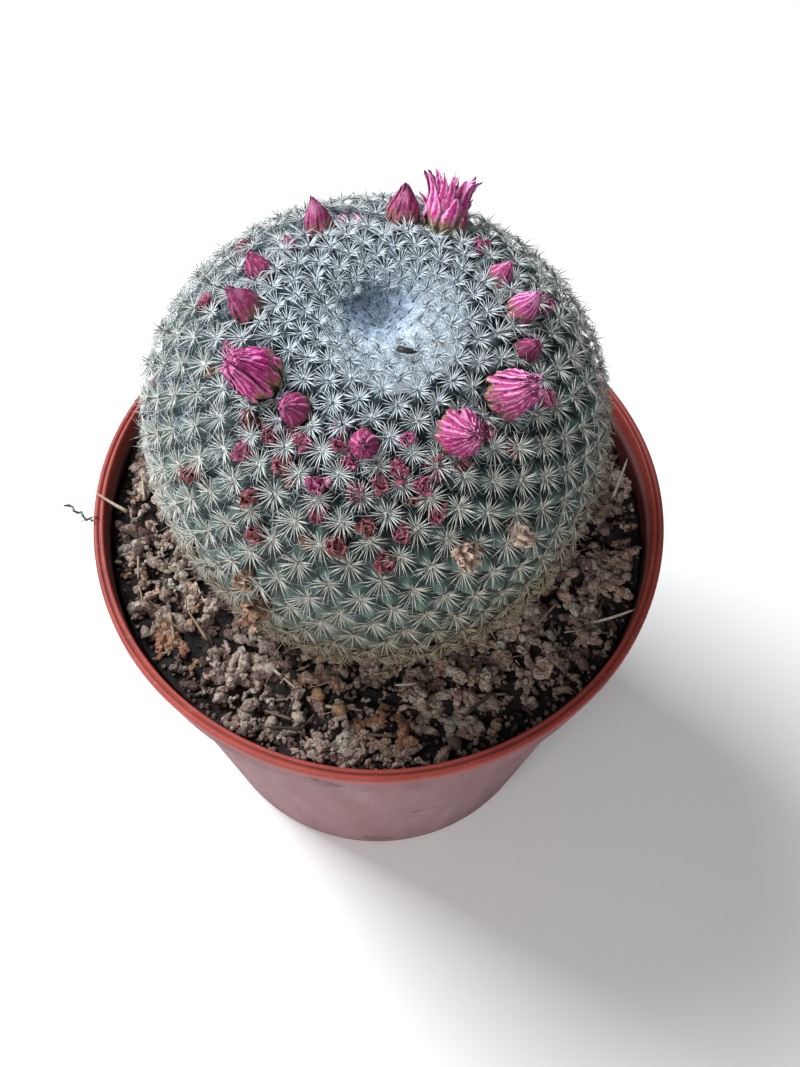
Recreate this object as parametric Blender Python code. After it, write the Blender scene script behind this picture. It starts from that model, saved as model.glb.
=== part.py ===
"""A round cactus in flower, standing in gritty soil in a thin plastic nursery pot.

Metres, +Z up. The origin is the centre of the circle that the pot stands on.
The stem's tubercles follow one spiral at the golden angle, which is what draws the crossing rows of spines.
"""

import math
import random

import bmesh
import bpy
import numpy as np
from mathutils import Matrix, Vector, noise
from mathutils.bvhtree import BVHTree
from mathutils.geometry import delaunay_2d_cdt

MM = 0.001
GOLDEN_ANGLE = math.pi * (3 - math.sqrt(5))

# Touching pieces keep this gap.
GAP = 0.3 * MM

# Pot: a 12 cm nursery pot, 10 cm high, with a stiffening band and a rolled lip.
POT_HEIGHT = 100 * MM
LIP_RADIUS = 60 * MM
LIP_HEIGHT = 2.8 * MM
BAND_RADIUS = 58.2 * MM
BAND_HEIGHT = 14 * MM
SHOULDER_RADIUS = 56.3 * MM
FOOT_RADIUS = 46 * MM
FOOT_WIDTH = 3.5 * MM
FLOOR_RISE = 3 * MM
WALL = 1.2 * MM
DRAIN_RADIUS = 3.2 * MM
DRAIN_CIRCLE = 30 * MM
DRAIN_COUNT = 6
POT_SIDES = 48

# Soil: filled to a few millimetres under the lip, cloddy on top, with a plain hole for the stem.
SOIL_TOP = POT_HEIGHT - 7 * MM
SOIL_SIDES = 72
HOLE_DEPTH = 12 * MM
CLOD_ROWS = (31, 34, 37, 40, 43, 46, 49, 52, 54.6)
CLOD_HEIGHT = 2.4 * MM
CLOD_SCALE = 230
PEBBLE_COUNT = 34
PEBBLE_RADIUS = (1.2 * MM, 2.4 * MM)

# Stem: a flattened globe, measured over the tips of its tubercles.
STEM_RADIUS = 41.4 * MM
STEM_MIDDLE = POT_HEIGHT + 28.6 * MM
STEM_RISE = 34.8 * MM
STEM_DROP = 46 * MM
STEM_SQUARENESS = 2.28
CROWN_DIP = 3.4 * MM
CROWN_DIP_RADIUS = 9 * MM
NECK_RADIUS = 27 * MM
NECK_FOOT_RADIUS = 19 * MM
NECK_SIDES = 40
TUBERCLE_DEPTH = 3.9 * MM
FULL_SPACING = 7.0 * MM
CROWN_SPACING = 1.4 * MM
SPACING_GROWTH = 26 * MM

# Woolly crown: the felt of young spines that fills the dip at the growing point.
WOOL_REACH = 9.6 * MM
WOOL_THICKNESS = 2.5 * MM
WOOL_SIDES = 24
FIRST_TUBERCLE = WOOL_REACH + 1.0 * MM

# Spines: three-sided, rooted under the tip of each tubercle.
SPINE_LENGTH = 5.2 * MM
SPINE_ROOT = 0.34 * MM
SPINE_SINK = 0.9 * MM
SPINE_TURN = 1.9
SPINE_LEAN = 0.75

# Blooms in their ring: azimuth in degrees, arc from the growing point, length and radius in millimetres,
# how far open from 0 to 1, and how many degrees it leans aside.
BLOOMS = (
    (10, 23.8, 7.9, 2.7, 0.0, 15),
    (31, 23.8, 5.9, 2.3, 0.0, 0),
    (66, 26.2, 12.0, 4.2, 1.0, 25),
    (83, 25.0, 8.8, 3.1, 0.0, 5),
    (102, 24.2, 4.2, 1.5, 0.0, 0),
    (118, 25.0, 8.2, 2.8, 0.0, 0),
    (133, 25.8, 4.0, 1.6, 0.0, 0),
    (152, 24.6, 6.3, 2.6, 0.2, 0),
    (175, 22.5, 8.0, 2.9, 0.0, -20),
    (215, 21.8, 11.2, 4.6, 0.35, -35),
    (234, 22.2, 7.0, 2.8, 0.0, 0),
    (266, 23.8, 7.0, 2.5, 0.2, 0),
    (302, 24.3, 9.7, 4.1, 0.3, 10),
    (327, 24.4, 10.6, 4.3, 0.4, 30),
    (353, 25.4, 5.5, 2.2, 0.2, 0),
)
BLOOM_LEAN = 0.035
BLOOM_PETALS = 6

# Spent blooms, shrivelled in the axils below the ring: each row's arc from the growing point, and azimuths.
SPENT_ROWS = (
    (23, (255, 284)),
    (27, (48, 110, 194, 230, 247, 262, 280, 312)),
    (31, (15, 75, 140, 170, 225, 240, 254, 272, 285, 340)),
    (36, (258, 290)),
    (39, (233, 252, 270, 282)),
    (43, (216, 244, 262, 276, 295)),
    (47, (308,)),
    (56, (237,)),
    (66, (243,)),
)
SPENT_LENGTH = 4.0 * MM
SPENT_RADIUS = 1.6 * MM
SPENT_SWELLING = 0.012


def clear_scene():
    for obj in list(bpy.data.objects):
        bpy.data.objects.remove(obj)


def material(name, colour, roughness, metallic=0.0):
    made = bpy.data.materials.new(name)
    made.use_nodes = True
    shader = made.node_tree.nodes["Principled BSDF"]
    shader.inputs["Base Color"].default_value = (*colour, 1.0)
    shader.inputs["Roughness"].default_value = roughness
    shader.inputs["Metallic"].default_value = metallic
    return made


def add_object(name, points, faces, finish=None):
    mesh = bpy.data.meshes.new(name)
    mesh.from_pydata([tuple(p) for p in points], [], faces)
    mesh.validate()
    obj = bpy.data.objects.new(name, mesh)
    bpy.context.scene.collection.objects.link(obj)
    if finish:
        mesh.materials.append(finish)
    return obj


def turned(profile, sides):
    """Points and faces of a closed solid turned about Z, from (radius, height) pairs.

    The pairs start on the axis at the top and run down the outer side to the axis again."""
    points = [(0.0, 0.0, profile[0][1])]
    for radius, height in profile[1:-1]:
        for i in range(sides):
            angle = 2 * math.pi * i / sides
            points.append((radius * math.cos(angle), radius * math.sin(angle), height))
    points.append((0.0, 0.0, profile[-1][1]))
    faces = [(0, 1 + i, 1 + (i + 1) % sides) for i in range(sides)]
    for ring in range(len(profile) - 3):
        first = 1 + ring * sides
        for i in range(sides):
            j = (i + 1) % sides
            faces.append((first + i, first + sides + i, first + sides + j, first + j))
    last = 1 + (len(profile) - 3) * sides
    faces += [(last + i, len(points) - 1, last + (i + 1) % sides) for i in range(sides)]
    return points, faces


def join(obj, others, operation="UNION"):
    """Applies one Boolean of these objects to obj, and removes them."""
    group = bpy.data.collections.new(obj.name + "_joined")
    for other in others:
        group.objects.link(other)
    boolean = obj.modifiers.new("join", "BOOLEAN")
    boolean.operation = operation
    boolean.operand_type = "COLLECTION"
    boolean.collection = group
    boolean.solver = "MANIFOLD"
    graph = bpy.context.evaluated_depsgraph_get()
    mesh = bpy.data.meshes.new_from_object(obj.evaluated_get(graph))
    obj.modifiers.clear()
    obj.data = mesh
    for other in others:
        bpy.data.objects.remove(other)
    bpy.data.collections.remove(group)


class StemShape:
    """The stem's meridian over its tubercle tips, by arc length from the growing point down to the soil."""

    def __init__(self, samples=800):
        upper = np.linspace(math.pi / 2, 0, samples)
        lower = np.linspace(0, math.pi / 2 * 0.8, samples)[1:]
        power = 2 / STEM_SQUARENESS
        radius = np.concatenate([np.cos(upper), np.cos(lower)]).clip(0) ** power * STEM_RADIUS
        height = np.concatenate(
            [np.sin(upper) ** power * STEM_RISE, -(np.sin(lower) ** power) * STEM_DROP]
        )
        height += STEM_MIDDLE - CROWN_DIP * np.exp(-((radius / CROWN_DIP_RADIUS) ** 2))
        above = height > SOIL_TOP + TUBERCLE_DEPTH * 0.6
        self.radius, self.height = radius[above], height[above]
        steps = np.hypot(np.diff(self.radius), np.diff(self.height))
        self.reach = np.concatenate([[0], np.cumsum(steps)])
        along = np.gradient(self.radius), np.gradient(self.height)
        length = np.hypot(*along)
        self.out, self.up = -along[1] / length, along[0] / length
        self.end = float(self.reach[-1])
        # A flat map of the stem that keeps angles, so that neighbours on it are neighbours on the stem.
        extra = 1 / self.radius[1:] - 1 / self.reach[1:]
        gained = np.concatenate([[0], np.cumsum((extra[1:] + extra[:-1]) / 2 * np.diff(self.reach[1:]))])
        self.log_map = np.log(self.reach[1:] / self.end) + gained
        growth = FULL_SPACING - CROWN_SPACING
        self.spacing = FULL_SPACING - growth * np.exp(-self.reach / SPACING_GROWTH)

    def at(self, angle, reach, lift):
        """The point at this azimuth and arc length, lifted along the normal."""
        radius = np.interp(reach, self.reach, self.radius)
        height = np.interp(reach, self.reach, self.height)
        normal = self.normal(angle, reach)
        return Vector((radius * math.cos(angle), radius * math.sin(angle), height)) + lift * normal

    def normal(self, angle, reach):
        out = np.interp(reach, self.reach, self.out)
        up = np.interp(reach, self.reach, self.up)
        return Vector((out * math.cos(angle), out * math.sin(angle), up)).normalized()

    def flat(self, angle, reach):
        far = math.exp(np.interp(reach, self.reach[1:], self.log_map))
        return Vector((far * math.cos(angle), far * math.sin(angle)))

    def unflat(self, point):
        """Azimuth and arc length of a point of the flat map."""
        reach = np.interp(math.log(point.length), self.log_map, self.reach[1:])
        return math.atan2(point.y, point.x), float(reach)

    def tubercles(self):
        """Azimuth and arc length of every tubercle, counted outwards from the growing point."""
        per_metre = 2 * math.pi * self.radius / (0.9 * self.spacing**2)
        middles = (per_metre[1:] + per_metre[:-1]) / 2 * np.diff(self.reach)
        count = np.concatenate([[0], np.cumsum(middles)])
        places = []
        for k in range(1, int(count[-1])):
            angle = (k * GOLDEN_ANGLE) % (2 * math.pi)
            places.append((angle, float(np.interp(k - 0.5, count, self.reach))))
        return places


def apart(a, b):
    return (a - b).length


def depth_at(shape, reach):
    """Depth of the axils between tubercles: shallow at the crown and where the stem meets the soil."""
    grown = 1 - math.exp(-reach / (12 * MM))
    buried = min(1.0, (shape.end - reach) / (10 * MM))
    return TUBERCLE_DEPTH * grown * (0.35 + 0.65 * buried)


def triangles(flat_points):
    """Delaunay triangles of these points, as triples of their numbers."""
    result = delaunay_2d_cdt(flat_points, [], [], 0, 1e-7)
    number = [sources[0] for sources in result[3]]
    return [tuple(number[i] for i in face) for face in result[2]]


def axils_between(shape, places):
    """The low points between each three neighbouring tubercles."""
    flat = [shape.flat(*place) for place in places]
    found = []
    for corners in triangles(flat):
        axil = shape.unflat(sum((flat[i] for i in corners), Vector((0, 0))) / 3)
        spread = max(apart(shape.at(*places[i], 0), shape.at(*axil, 0)) for i in corners)
        if spread < 0.8 * np.interp(axil[1], shape.reach, shape.spacing):
            found.append(axil)
    return found


def ring_of(angle_count, flat_radius, radius, height):
    """A level ring: each point's place on the flat map and in space."""
    made = []
    for i in range(angle_count):
        angle = 2 * math.pi * (i + 0.5) / angle_count
        flat = Vector((flat_radius * math.cos(angle), flat_radius * math.sin(angle)))
        made.append((flat, Vector((radius * math.cos(angle), radius * math.sin(angle), height))))
    return made


def surface_from(entries):
    """Faces over entries of (flat place, point), facing out."""
    faces = []
    for a, b, c in triangles([flat for flat, _ in entries]):
        u, v, w = (entries[i][0] for i in (a, b, c))
        turn = (v - u).cross(w - u)
        faces.append((a, b, c) if turn > 0 else (a, c, b))
    return faces


def pressed(shape, angle, reach, blooms):
    """How far a tubercle is pressed down beside a bloom that has grown between its neighbours."""
    here = shape.at(angle, reach, 0)
    most = 0.0
    for place, radius in blooms:
        near = apart(here, place) / (radius + 1.6 * MM)
        most = max(most, math.exp(-(near**4)))
    return most * 0.75


def build_stem(shape, places, axils, blooms):
    """The stem's green body: a tip on each tubercle, an axil between each three, a dish under the wool."""
    entries = []
    for angle, reach in places:
        if reach > FIRST_TUBERCLE:
            drop = depth_at(shape, reach) * pressed(shape, angle, reach, blooms)
            entries.append((shape.flat(angle, reach), shape.at(angle, reach, -drop)))
    for angle, reach in axils:
        if reach > WOOL_REACH + 1.6 * MM:
            entries.append((shape.flat(angle, reach), shape.at(angle, reach, -depth_at(shape, reach))))
    for share, sides in ((1.0, WOOL_SIDES), (0.6, WOOL_SIDES // 2)):
        reach = WOOL_REACH * share
        for i in range(sides):
            angle = 2 * math.pi * i / sides
            entries.append((shape.flat(angle, reach), shape.at(angle, reach, -WOOL_THICKNESS - GAP)))
    entries.append((Vector((0, 0)), shape.at(0, 0, -WOOL_THICKNESS - GAP)))
    far = shape.flat(0, shape.end).x
    entries += ring_of(NECK_SIDES, far * 1.12, NECK_RADIUS, SOIL_TOP)
    foot = len(entries)
    entries += ring_of(NECK_SIDES, far * 1.6, NECK_FOOT_RADIUS, SOIL_TOP - HOLE_DEPTH)
    faces = surface_from(entries)
    faces.append(tuple(reversed(range(foot, foot + NECK_SIDES))))
    return add_object("stem", [p for _, p in entries], faces)


def spine(root, direction, length, width):
    """Points and faces of one three-sided spine."""
    across = direction.orthogonal().normalized()
    other = direction.cross(across)
    corners = []
    for i in range(3):
        angle = 2 * math.pi * i / 3
        corners.append(root + width * (across * math.cos(angle) + other * math.sin(angle)))
    return [*corners, root + direction * length], [(0, 2, 1), (0, 1, 3), (1, 2, 3), (2, 0, 3)]


def many(name, solids):
    """One object holding several loose solids, for a Boolean to join."""
    points, faces = [], []
    for some, sides in solids:
        faces += [tuple(i + len(points) for i in side) for side in sides]
        points += some
    return add_object(name, points, faces)


def spine_direction(shape, angle, reach, turn, lean):
    """A direction that leans away from the normal, turned about it."""
    normal = shape.normal(angle, reach)
    side = Vector((-math.sin(angle), math.cos(angle), 0))
    down = side.cross(normal)
    aside = side * math.cos(turn) + down * math.sin(turn)
    return (normal * math.cos(lean) + aside * math.sin(lean)).normalized()


def spines_for(shape, places, keep_clear, presses):
    """A spine on each tubercle, left out where it would meet a bloom or the soil."""
    made = []
    for k, (angle, reach) in enumerate(places):
        if reach < FIRST_TUBERCLE or pressed(shape, angle, reach, presses) > 0.1:
            continue
        root = shape.at(angle, reach, -SPINE_SINK)
        direction = spine_direction(shape, angle, reach, k * SPINE_TURN, SPINE_LEAN)
        if direction.z < -0.55:
            direction = spine_direction(shape, angle, reach, k * SPINE_TURN + math.pi, SPINE_LEAN)
        tip = root + direction * SPINE_LENGTH
        meets = any(
            min(apart(place, root), apart(place, tip), apart(place, (root + tip) / 2)) < room
            for place, room in keep_clear
        )
        if not meets and tip.z > SOIL_TOP + 4.6 * MM:
            made.append(spine(root, direction, SPINE_LENGTH, SPINE_ROOT))
    return made


def build_wool(shape, places, finish):
    """The felted crown: a soft dome over each young tubercle, with its own short spines standing out."""
    young = [(a, r) for a, r in places if r < WOOL_REACH - 1.2 * MM and r > 1.5 * MM]
    entries = [(shape.flat(a, r), shape.at(a, r, 0.45 * MM)) for a, r in young]
    entries += [
        (shape.flat(a, r), shape.at(a, r, -0.35 * MM))
        for a, r in axils_between(shape, young)
        if r < WOOL_REACH - 1.4 * MM
    ]
    top = len(entries)
    rim, inner = WOOL_SIDES, WOOL_SIDES // 2
    for i in range(rim):
        angle = 2 * math.pi * i / rim
        entries.append((shape.flat(angle, WOOL_REACH - GAP), shape.at(angle, WOOL_REACH - GAP, -1.6 * MM)))
    points = [p for _, p in entries]
    faces = surface_from(entries)
    under = len(points)
    points += [shape.at(2 * math.pi * i / rim, WOOL_REACH - GAP, -WOOL_THICKNESS) for i in range(rim)]
    low = len(points)
    points += [shape.at(2 * math.pi * i / inner, WOOL_REACH * 0.6, -WOOL_THICKNESS) for i in range(inner)]
    centre = len(points)
    points.append(shape.at(0, 0, -WOOL_THICKNESS))
    for i in range(rim):
        j = (i + 1) % rim
        faces.append((top + i, under + i, under + j, top + j))
    for i in range(inner):
        j = (i + 1) % inner
        a, b, c = under + 2 * i, under + 2 * i + 1, under + (2 * i + 2) % rim
        faces += [(a, low + i, b), (b, low + i, low + j), (b, low + j, c)]
        faces.append((low + i, centre, low + j))
    wool = add_object("crown_wool", points, faces, finish)
    tufts = []
    for k, (angle, reach) in enumerate(young):
        if k % 2 == 0:
            root = shape.at(angle, reach, -0.5 * MM)
            direction = spine_direction(shape, angle, reach, k * SPINE_TURN, SPINE_LEAN * 0.7)
            tufts.append(spine(root, direction, SPINE_LENGTH * 0.7, SPINE_ROOT))
    join(wool, [many("tufts", tufts)])
    return wool


def bloom_solid(length, radius, opened):
    """One bloom on +Z: a tube that swells into pleated petals, closed to a point or opening into a star."""
    sides = 2 * BLOOM_PETALS
    heights = (0.0, 0.14, 0.34, 0.56, 0.78, 0.92)
    shut_widths = (0.5, 0.82, 1.0, 0.9, 0.52, 0.2)
    open_widths = (0.42, 0.7, 0.92, 1.0, 0.95, 1.0)
    points, faces = [], []
    for along, shut_width, open_width in zip(heights, shut_widths, open_widths):
        width = shut_width + (open_width - shut_width) * opened
        for i in range(sides):
            angle = 2 * math.pi * i / sides + along * 0.7
            ridge = 1 if i % 2 else -1
            reach = radius * width * (1 + 0.07 * ridge * min(1, along * 4))
            peak = length * (along + 0.06 * ridge * along * (0.4 + opened))
            points.append(Vector((reach * math.cos(angle), reach * math.sin(angle), peak)))
    rings = len(heights)
    for ring in range(rings - 1):
        for i in range(sides):
            a, b = ring * sides + i, ring * sides + (i + 1) % sides
            faces.append((a, b, b + sides, a + sides))
    last = (rings - 1) * sides
    if opened > 0.8:
        for i in range(sides):
            angle = 2 * math.pi * i / sides + 0.7
            inner = radius * 0.55
            points.append(Vector((inner * math.cos(angle), inner * math.sin(angle), length * 0.62)))
        for i in range(sides):
            j = (i + 1) % sides
            faces.append((last + i, last + j, last + sides + j, last + sides + i))
        last += sides
        top = length * 0.7
    else:
        top = length
    points.append(Vector((0, 0, top)))
    tip = len(points) - 1
    faces += [(last + i, last + (i + 1) % sides, tip) for i in range(sides)]
    faces.append(tuple(reversed(range(sides))))
    return points, faces


def spent_solid(length, radius, draw):
    """One shrivelled bloom on +Z: a crumpled five-sided stub."""
    sides = 5
    form = ((0.0, 0.6), (0.35, 0.95), (0.75, 1.0), (1.0, 0.55))
    points, faces = [], []
    for ring, (along, width) in enumerate(form):
        for i in range(sides):
            angle = 2 * math.pi * (i + 0.5 * (ring % 2)) / sides
            reach = radius * width * draw.uniform(0.75, 1.2)
            height = length * (along + draw.uniform(-0.06, 0.06) * (ring > 0))
            points.append(Vector((reach * math.cos(angle), reach * math.sin(angle), height)))
    for ring in range(len(form) - 1):
        for i in range(sides):
            a, b = ring * sides + i, ring * sides + (i + 1) % sides
            faces += [(a, b, b + sides), (a, b + sides, a + sides)]
    last = (len(form) - 1) * sides
    points.append(Vector((0, 0, length * 0.8)))
    faces += [(last + i, last + (i + 1) % sides, len(points) - 1) for i in range(sides)]
    faces.append(tuple(reversed(range(sides))))
    return points, faces


def clears(points, tree, other):
    """Whether these points, and their faces' tree, keep the gap from another solid's tree."""
    return not tree.overlap(other) and min(other.find_nearest(p)[3] for p in points) >= GAP


def seated(solid, foot, axis, stem_tree, others, step=0.1 * MM):
    """The solid stood at foot along axis, drawn out off the stem and made smaller to clear the others."""
    points, faces = solid
    turn = axis.to_track_quat("Z", "Y").to_matrix().to_4x4()
    for size in (1, 0.93, 0.86, 0.8, 0.74):
        for n in range(60):
            place = Matrix.Translation(foot + axis * (n * step)) @ turn
            moved = [place @ (p * size) for p in points]
            tree = BVHTree.FromPolygons(moved, faces)
            if not clears(moved, tree, stem_tree):
                continue
            if all(clears(moved, tree, other) for other in others):
                others.append(tree)
                return moved, faces, place.translation
            break
    return None


def bloom_axis(shape, angle, reach, lean, aside=0.0):
    """Blooms stand nearly along the normal, leaning further out and perhaps aside."""
    turned_angle = angle + math.radians(aside)
    outwards = Vector((math.cos(turned_angle), math.sin(turned_angle), 0))
    return (shape.normal(angle, reach) + lean * outwards).normalized()


def nearest_axil(shape, axils, angle, reach, taken):
    """The free axil nearest to this place."""
    wanted = shape.at(angle, reach, 0)
    free = [axil for axil in axils if axil not in taken]
    return min(free, key=lambda axil: apart(shape.at(*axil, 0), wanted))


def tree_of(obj):
    points = [v.co.copy() for v in obj.data.vertices]
    return BVHTree.FromPolygons(points, [tuple(p.vertices) for p in obj.data.polygons])


def build_plant(finishes):
    """The stem with its spines, its woolly crown, its ring of blooms and the spent ones below it."""
    shape = StemShape()
    places = shape.tubercles()
    axils = axils_between(shape, places)

    blooms = []
    for azimuth, reach, length, radius, opened, aside in BLOOMS:
        place = (math.radians(azimuth), reach * MM)
        axis = bloom_axis(shape, *place, BLOOM_LEAN * length, aside)
        blooms.append((place, length * MM, radius * MM, opened, axis))
    presses = [(shape.at(*place, 0), radius) for place, _, radius, _, _ in blooms]
    stem = build_stem(shape, places, axils, presses)
    stem_tree = tree_of(stem)

    keep_clear, stood_already = [], []
    for number, (place, length, radius, opened, axis) in enumerate(blooms, 1):
        foot = shape.at(*place, -depth_at(shape, place[1]))
        solid = bloom_solid(length, radius, opened)
        points, faces, base = seated(solid, foot, axis, stem_tree, stood_already)
        add_object(f"bloom_{number:02d}", points, faces, finishes["bloom"])
        for share in (0.15, 0.5, 0.85):
            keep_clear.append((base + axis * length * share, radius + 1.1 * MM))

    draw = random.Random(7)
    taken, made = [], 0
    for row, azimuths in SPENT_ROWS:
        for azimuth in azimuths:
            axil = nearest_axil(shape, axils, math.radians(azimuth), row * MM, taken)
            size = draw.uniform(0.85, 1.05) + SPENT_SWELLING * (row - 30)
            length, radius = SPENT_LENGTH * size, SPENT_RADIUS * size
            axis = bloom_axis(shape, *axil, 0.1)
            foot = shape.at(*axil, -depth_at(shape, axil[1]))
            stood = seated(spent_solid(length, radius, draw), foot, axis, stem_tree, stood_already)
            if stood is None:
                continue
            taken.append(axil)
            made += 1
            points, faces, base = stood
            add_object(f"spent_bloom_{made:02d}", points, faces, finishes["spent"])
            for share in (0.2, 0.8):
                keep_clear.append((base + axis * length * share, radius + 0.9 * MM))

    join(stem, [many("spines", spines_for(shape, places, keep_clear, presses))])
    stem.data.materials.clear()
    stem.data.materials.append(finishes["stem"])
    build_wool(shape, places, finishes["wool"])


def build_pot(finish):
    """A thin turned shell: recessed floor with drain holes, tapered wall, band and lip."""
    band_foot = POT_HEIGHT - BAND_HEIGHT
    slope = (SHOULDER_RADIUS - FOOT_RADIUS) / band_foot
    profile = [
        (0, FLOOR_RISE + WALL),
        (FOOT_RADIUS - WALL + slope * (FLOOR_RISE + WALL), FLOOR_RISE + WALL),
        (SHOULDER_RADIUS - WALL, band_foot + WALL * 0.6),
        (BAND_RADIUS - WALL, band_foot + WALL),
        (BAND_RADIUS - WALL + 0.3 * MM, POT_HEIGHT - 0.5 * MM),
        (BAND_RADIUS - WALL + 0.8 * MM, POT_HEIGHT),
        (LIP_RADIUS - 0.6 * MM, POT_HEIGHT),
        (LIP_RADIUS, POT_HEIGHT - 0.6 * MM),
        (LIP_RADIUS, POT_HEIGHT - LIP_HEIGHT),
        (BAND_RADIUS + 0.3 * MM, POT_HEIGHT - LIP_HEIGHT - 0.2 * MM),
        (BAND_RADIUS, band_foot),
        (SHOULDER_RADIUS, band_foot - 0.6 * MM),
        (FOOT_RADIUS, 0.6 * MM),
        (FOOT_RADIUS - 0.6 * MM, 0),
        (FOOT_RADIUS - FOOT_WIDTH, 0),
        (FOOT_RADIUS - FOOT_WIDTH - 0.6 * MM, FLOOR_RISE),
        (0, FLOOR_RISE),
    ]
    pot = add_object("pot", *turned(profile, POT_SIDES), finish)
    drains = []
    for i in range(DRAIN_COUNT + 1):
        angle = 2 * math.pi * i / DRAIN_COUNT
        far = DRAIN_CIRCLE if i < DRAIN_COUNT else 0.0
        plug = turned([(0, WALL * 2), (DRAIN_RADIUS, WALL * 2), (DRAIN_RADIUS, -WALL), (0, -WALL)], 12)
        shift = Vector((far * math.cos(angle), far * math.sin(angle), FLOOR_RISE))
        drains.append(add_object(f"drain_{i}", [Vector(p) + shift for p in plug[0]], plug[1]))
    join(pot, drains, "DIFFERENCE")
    pot.data.materials.clear()
    pot.data.materials.append(finish)
    return pot


def soil_height(x, y):
    """Cloddy soil, raised and hollowed a little, lower on the +X side and level at the stem's foot."""
    waves = math.sin(x * 210 + 1.3) * math.cos(y * 260) + 0.6 * math.sin(x * 430 - y * 370)
    place = Vector((x, y, 0)) * CLOD_SCALE
    clods = noise.noise(place) + 0.7 * noise.noise(place * 2.1)
    clear = min(1.0, max(0.0, (math.hypot(x, y) - 32 * MM) / (6 * MM)))
    return SOIL_TOP + waves * 0.5 * MM + clods * clear * CLOD_HEIGHT - x * 0.03


def build_soil(finish):
    """Soil that fills the pot, with half-sunk grit on top and a plain blind hole for the stem."""
    band_foot = POT_HEIGHT - BAND_HEIGHT
    slope = (SHOULDER_RADIUS - FOOT_RADIUS) / band_foot
    floor = FLOOR_RISE + WALL + GAP
    wall_radius = SHOULDER_RADIUS - WALL - GAP
    edge = BAND_RADIUS - WALL - GAP
    profile = [(0, SOIL_TOP - HOLE_DEPTH - GAP), (NECK_FOOT_RADIUS + GAP, SOIL_TOP - HOLE_DEPTH - GAP)]
    profile += [(NECK_RADIUS + GAP, SOIL_TOP)]
    profile += [(row * MM, None) for row in CLOD_ROWS]
    profile += [(edge, None), (edge, band_foot + WALL + GAP), (wall_radius, band_foot + WALL * 0.6)]
    profile += [(FOOT_RADIUS - WALL + slope * floor - GAP, floor), (0, floor)]
    level = [(radius, SOIL_TOP if height is None else height) for radius, height in profile]
    points, faces = turned(level, SOIL_SIDES)
    for ring in range(len(CLOD_ROWS) + 1):
        first = 1 + (2 + ring) * SOIL_SIDES
        for i in range(first, first + SOIL_SIDES):
            x, y, _ = points[i]
            points[i] = (x, y, soil_height(x, y))
    soil = add_object("soil", points, faces, finish)

    draw = random.Random(21)
    pebbles, laid = [], []
    for n in range(PEBBLE_COUNT * 6):
        if len(laid) == PEBBLE_COUNT:
            break
        radius = draw.uniform(*PEBBLE_RADIUS)
        far = draw.uniform(39 * MM, edge - 1.5 * MM - radius)
        angle = n * GOLDEN_ANGLE
        x, y = far * math.cos(angle), far * math.sin(angle)
        spot = Vector((x, y, soil_height(x, y) + 0.25 * radius))
        if any(apart(spot, other) < radius + room + 0.5 * MM for other, room in laid):
            continue
        laid.append((spot, radius))
        mesh = bmesh.new()
        bmesh.ops.create_icosphere(mesh, subdivisions=1, radius=radius)
        stretch = Vector((draw.uniform(0.75, 1.15), draw.uniform(0.75, 1.15), draw.uniform(0.6, 0.9)))
        spin = Matrix.Rotation(draw.uniform(0, math.pi), 3, "Z")
        some = [spot + spin @ (v.co * stretch) for v in mesh.verts]
        pebbles.append((some, [tuple(v.index for v in face.verts) for face in mesh.faces]))
        mesh.free()
    join(soil, [many("pebbles", pebbles)])
    soil.data.materials.clear()
    soil.data.materials.append(finish)
    return soil


clear_scene()
FINISHES = {
    "pot": material("pot_plastic", (0.42, 0.15, 0.12), 0.5),
    "soil": material("gritty_soil", (0.16, 0.12, 0.10), 0.95),
    "stem": material("stem_and_spines", (0.40, 0.50, 0.45), 0.7),
    "wool": material("white_wool", (0.78, 0.83, 0.88), 0.9),
    "bloom": material("pink_bloom", (0.62, 0.10, 0.32), 0.5),
    "spent": material("spent_bloom", (0.30, 0.10, 0.10), 0.8),
}
build_pot(FINISHES["pot"])
build_soil(FINISHES["soil"])
build_plant(FINISHES)
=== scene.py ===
"""The looks of a round cactus in flower, in gritty soil in a thin plastic nursery pot.

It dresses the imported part, in metres, +Z up, from the pot outwards as the real thing is put together.
"""

import math
import random

import bmesh
import bpy
import numpy as np
from mathutils import Matrix, Vector, noise
from mathutils.bvhtree import BVHTree
from mathutils.kdtree import KDTree


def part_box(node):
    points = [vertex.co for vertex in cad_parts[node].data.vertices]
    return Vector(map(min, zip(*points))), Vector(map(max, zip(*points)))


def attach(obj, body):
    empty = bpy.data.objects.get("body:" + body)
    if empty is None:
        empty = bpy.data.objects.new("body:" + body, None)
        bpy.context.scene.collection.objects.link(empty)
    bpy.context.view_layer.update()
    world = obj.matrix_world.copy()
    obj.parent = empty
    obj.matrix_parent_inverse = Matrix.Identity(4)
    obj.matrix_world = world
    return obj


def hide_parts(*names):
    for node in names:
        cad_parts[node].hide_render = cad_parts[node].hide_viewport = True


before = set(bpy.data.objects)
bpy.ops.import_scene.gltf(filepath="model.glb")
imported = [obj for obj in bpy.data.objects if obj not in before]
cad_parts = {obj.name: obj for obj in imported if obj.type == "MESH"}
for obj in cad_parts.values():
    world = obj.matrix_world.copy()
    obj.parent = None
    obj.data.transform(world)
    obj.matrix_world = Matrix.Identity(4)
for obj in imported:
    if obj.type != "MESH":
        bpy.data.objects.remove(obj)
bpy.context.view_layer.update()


# ---------------------------------------------------------------------------
# The table and the light. The plant stands on a plain pale tabletop by a big window: one broad
# soft light from behind and to the left, a weaker one in front, and a pale room all round.
MM = 0.001
TURN = 2 * math.pi
pot_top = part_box("pot")[1].z

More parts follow.
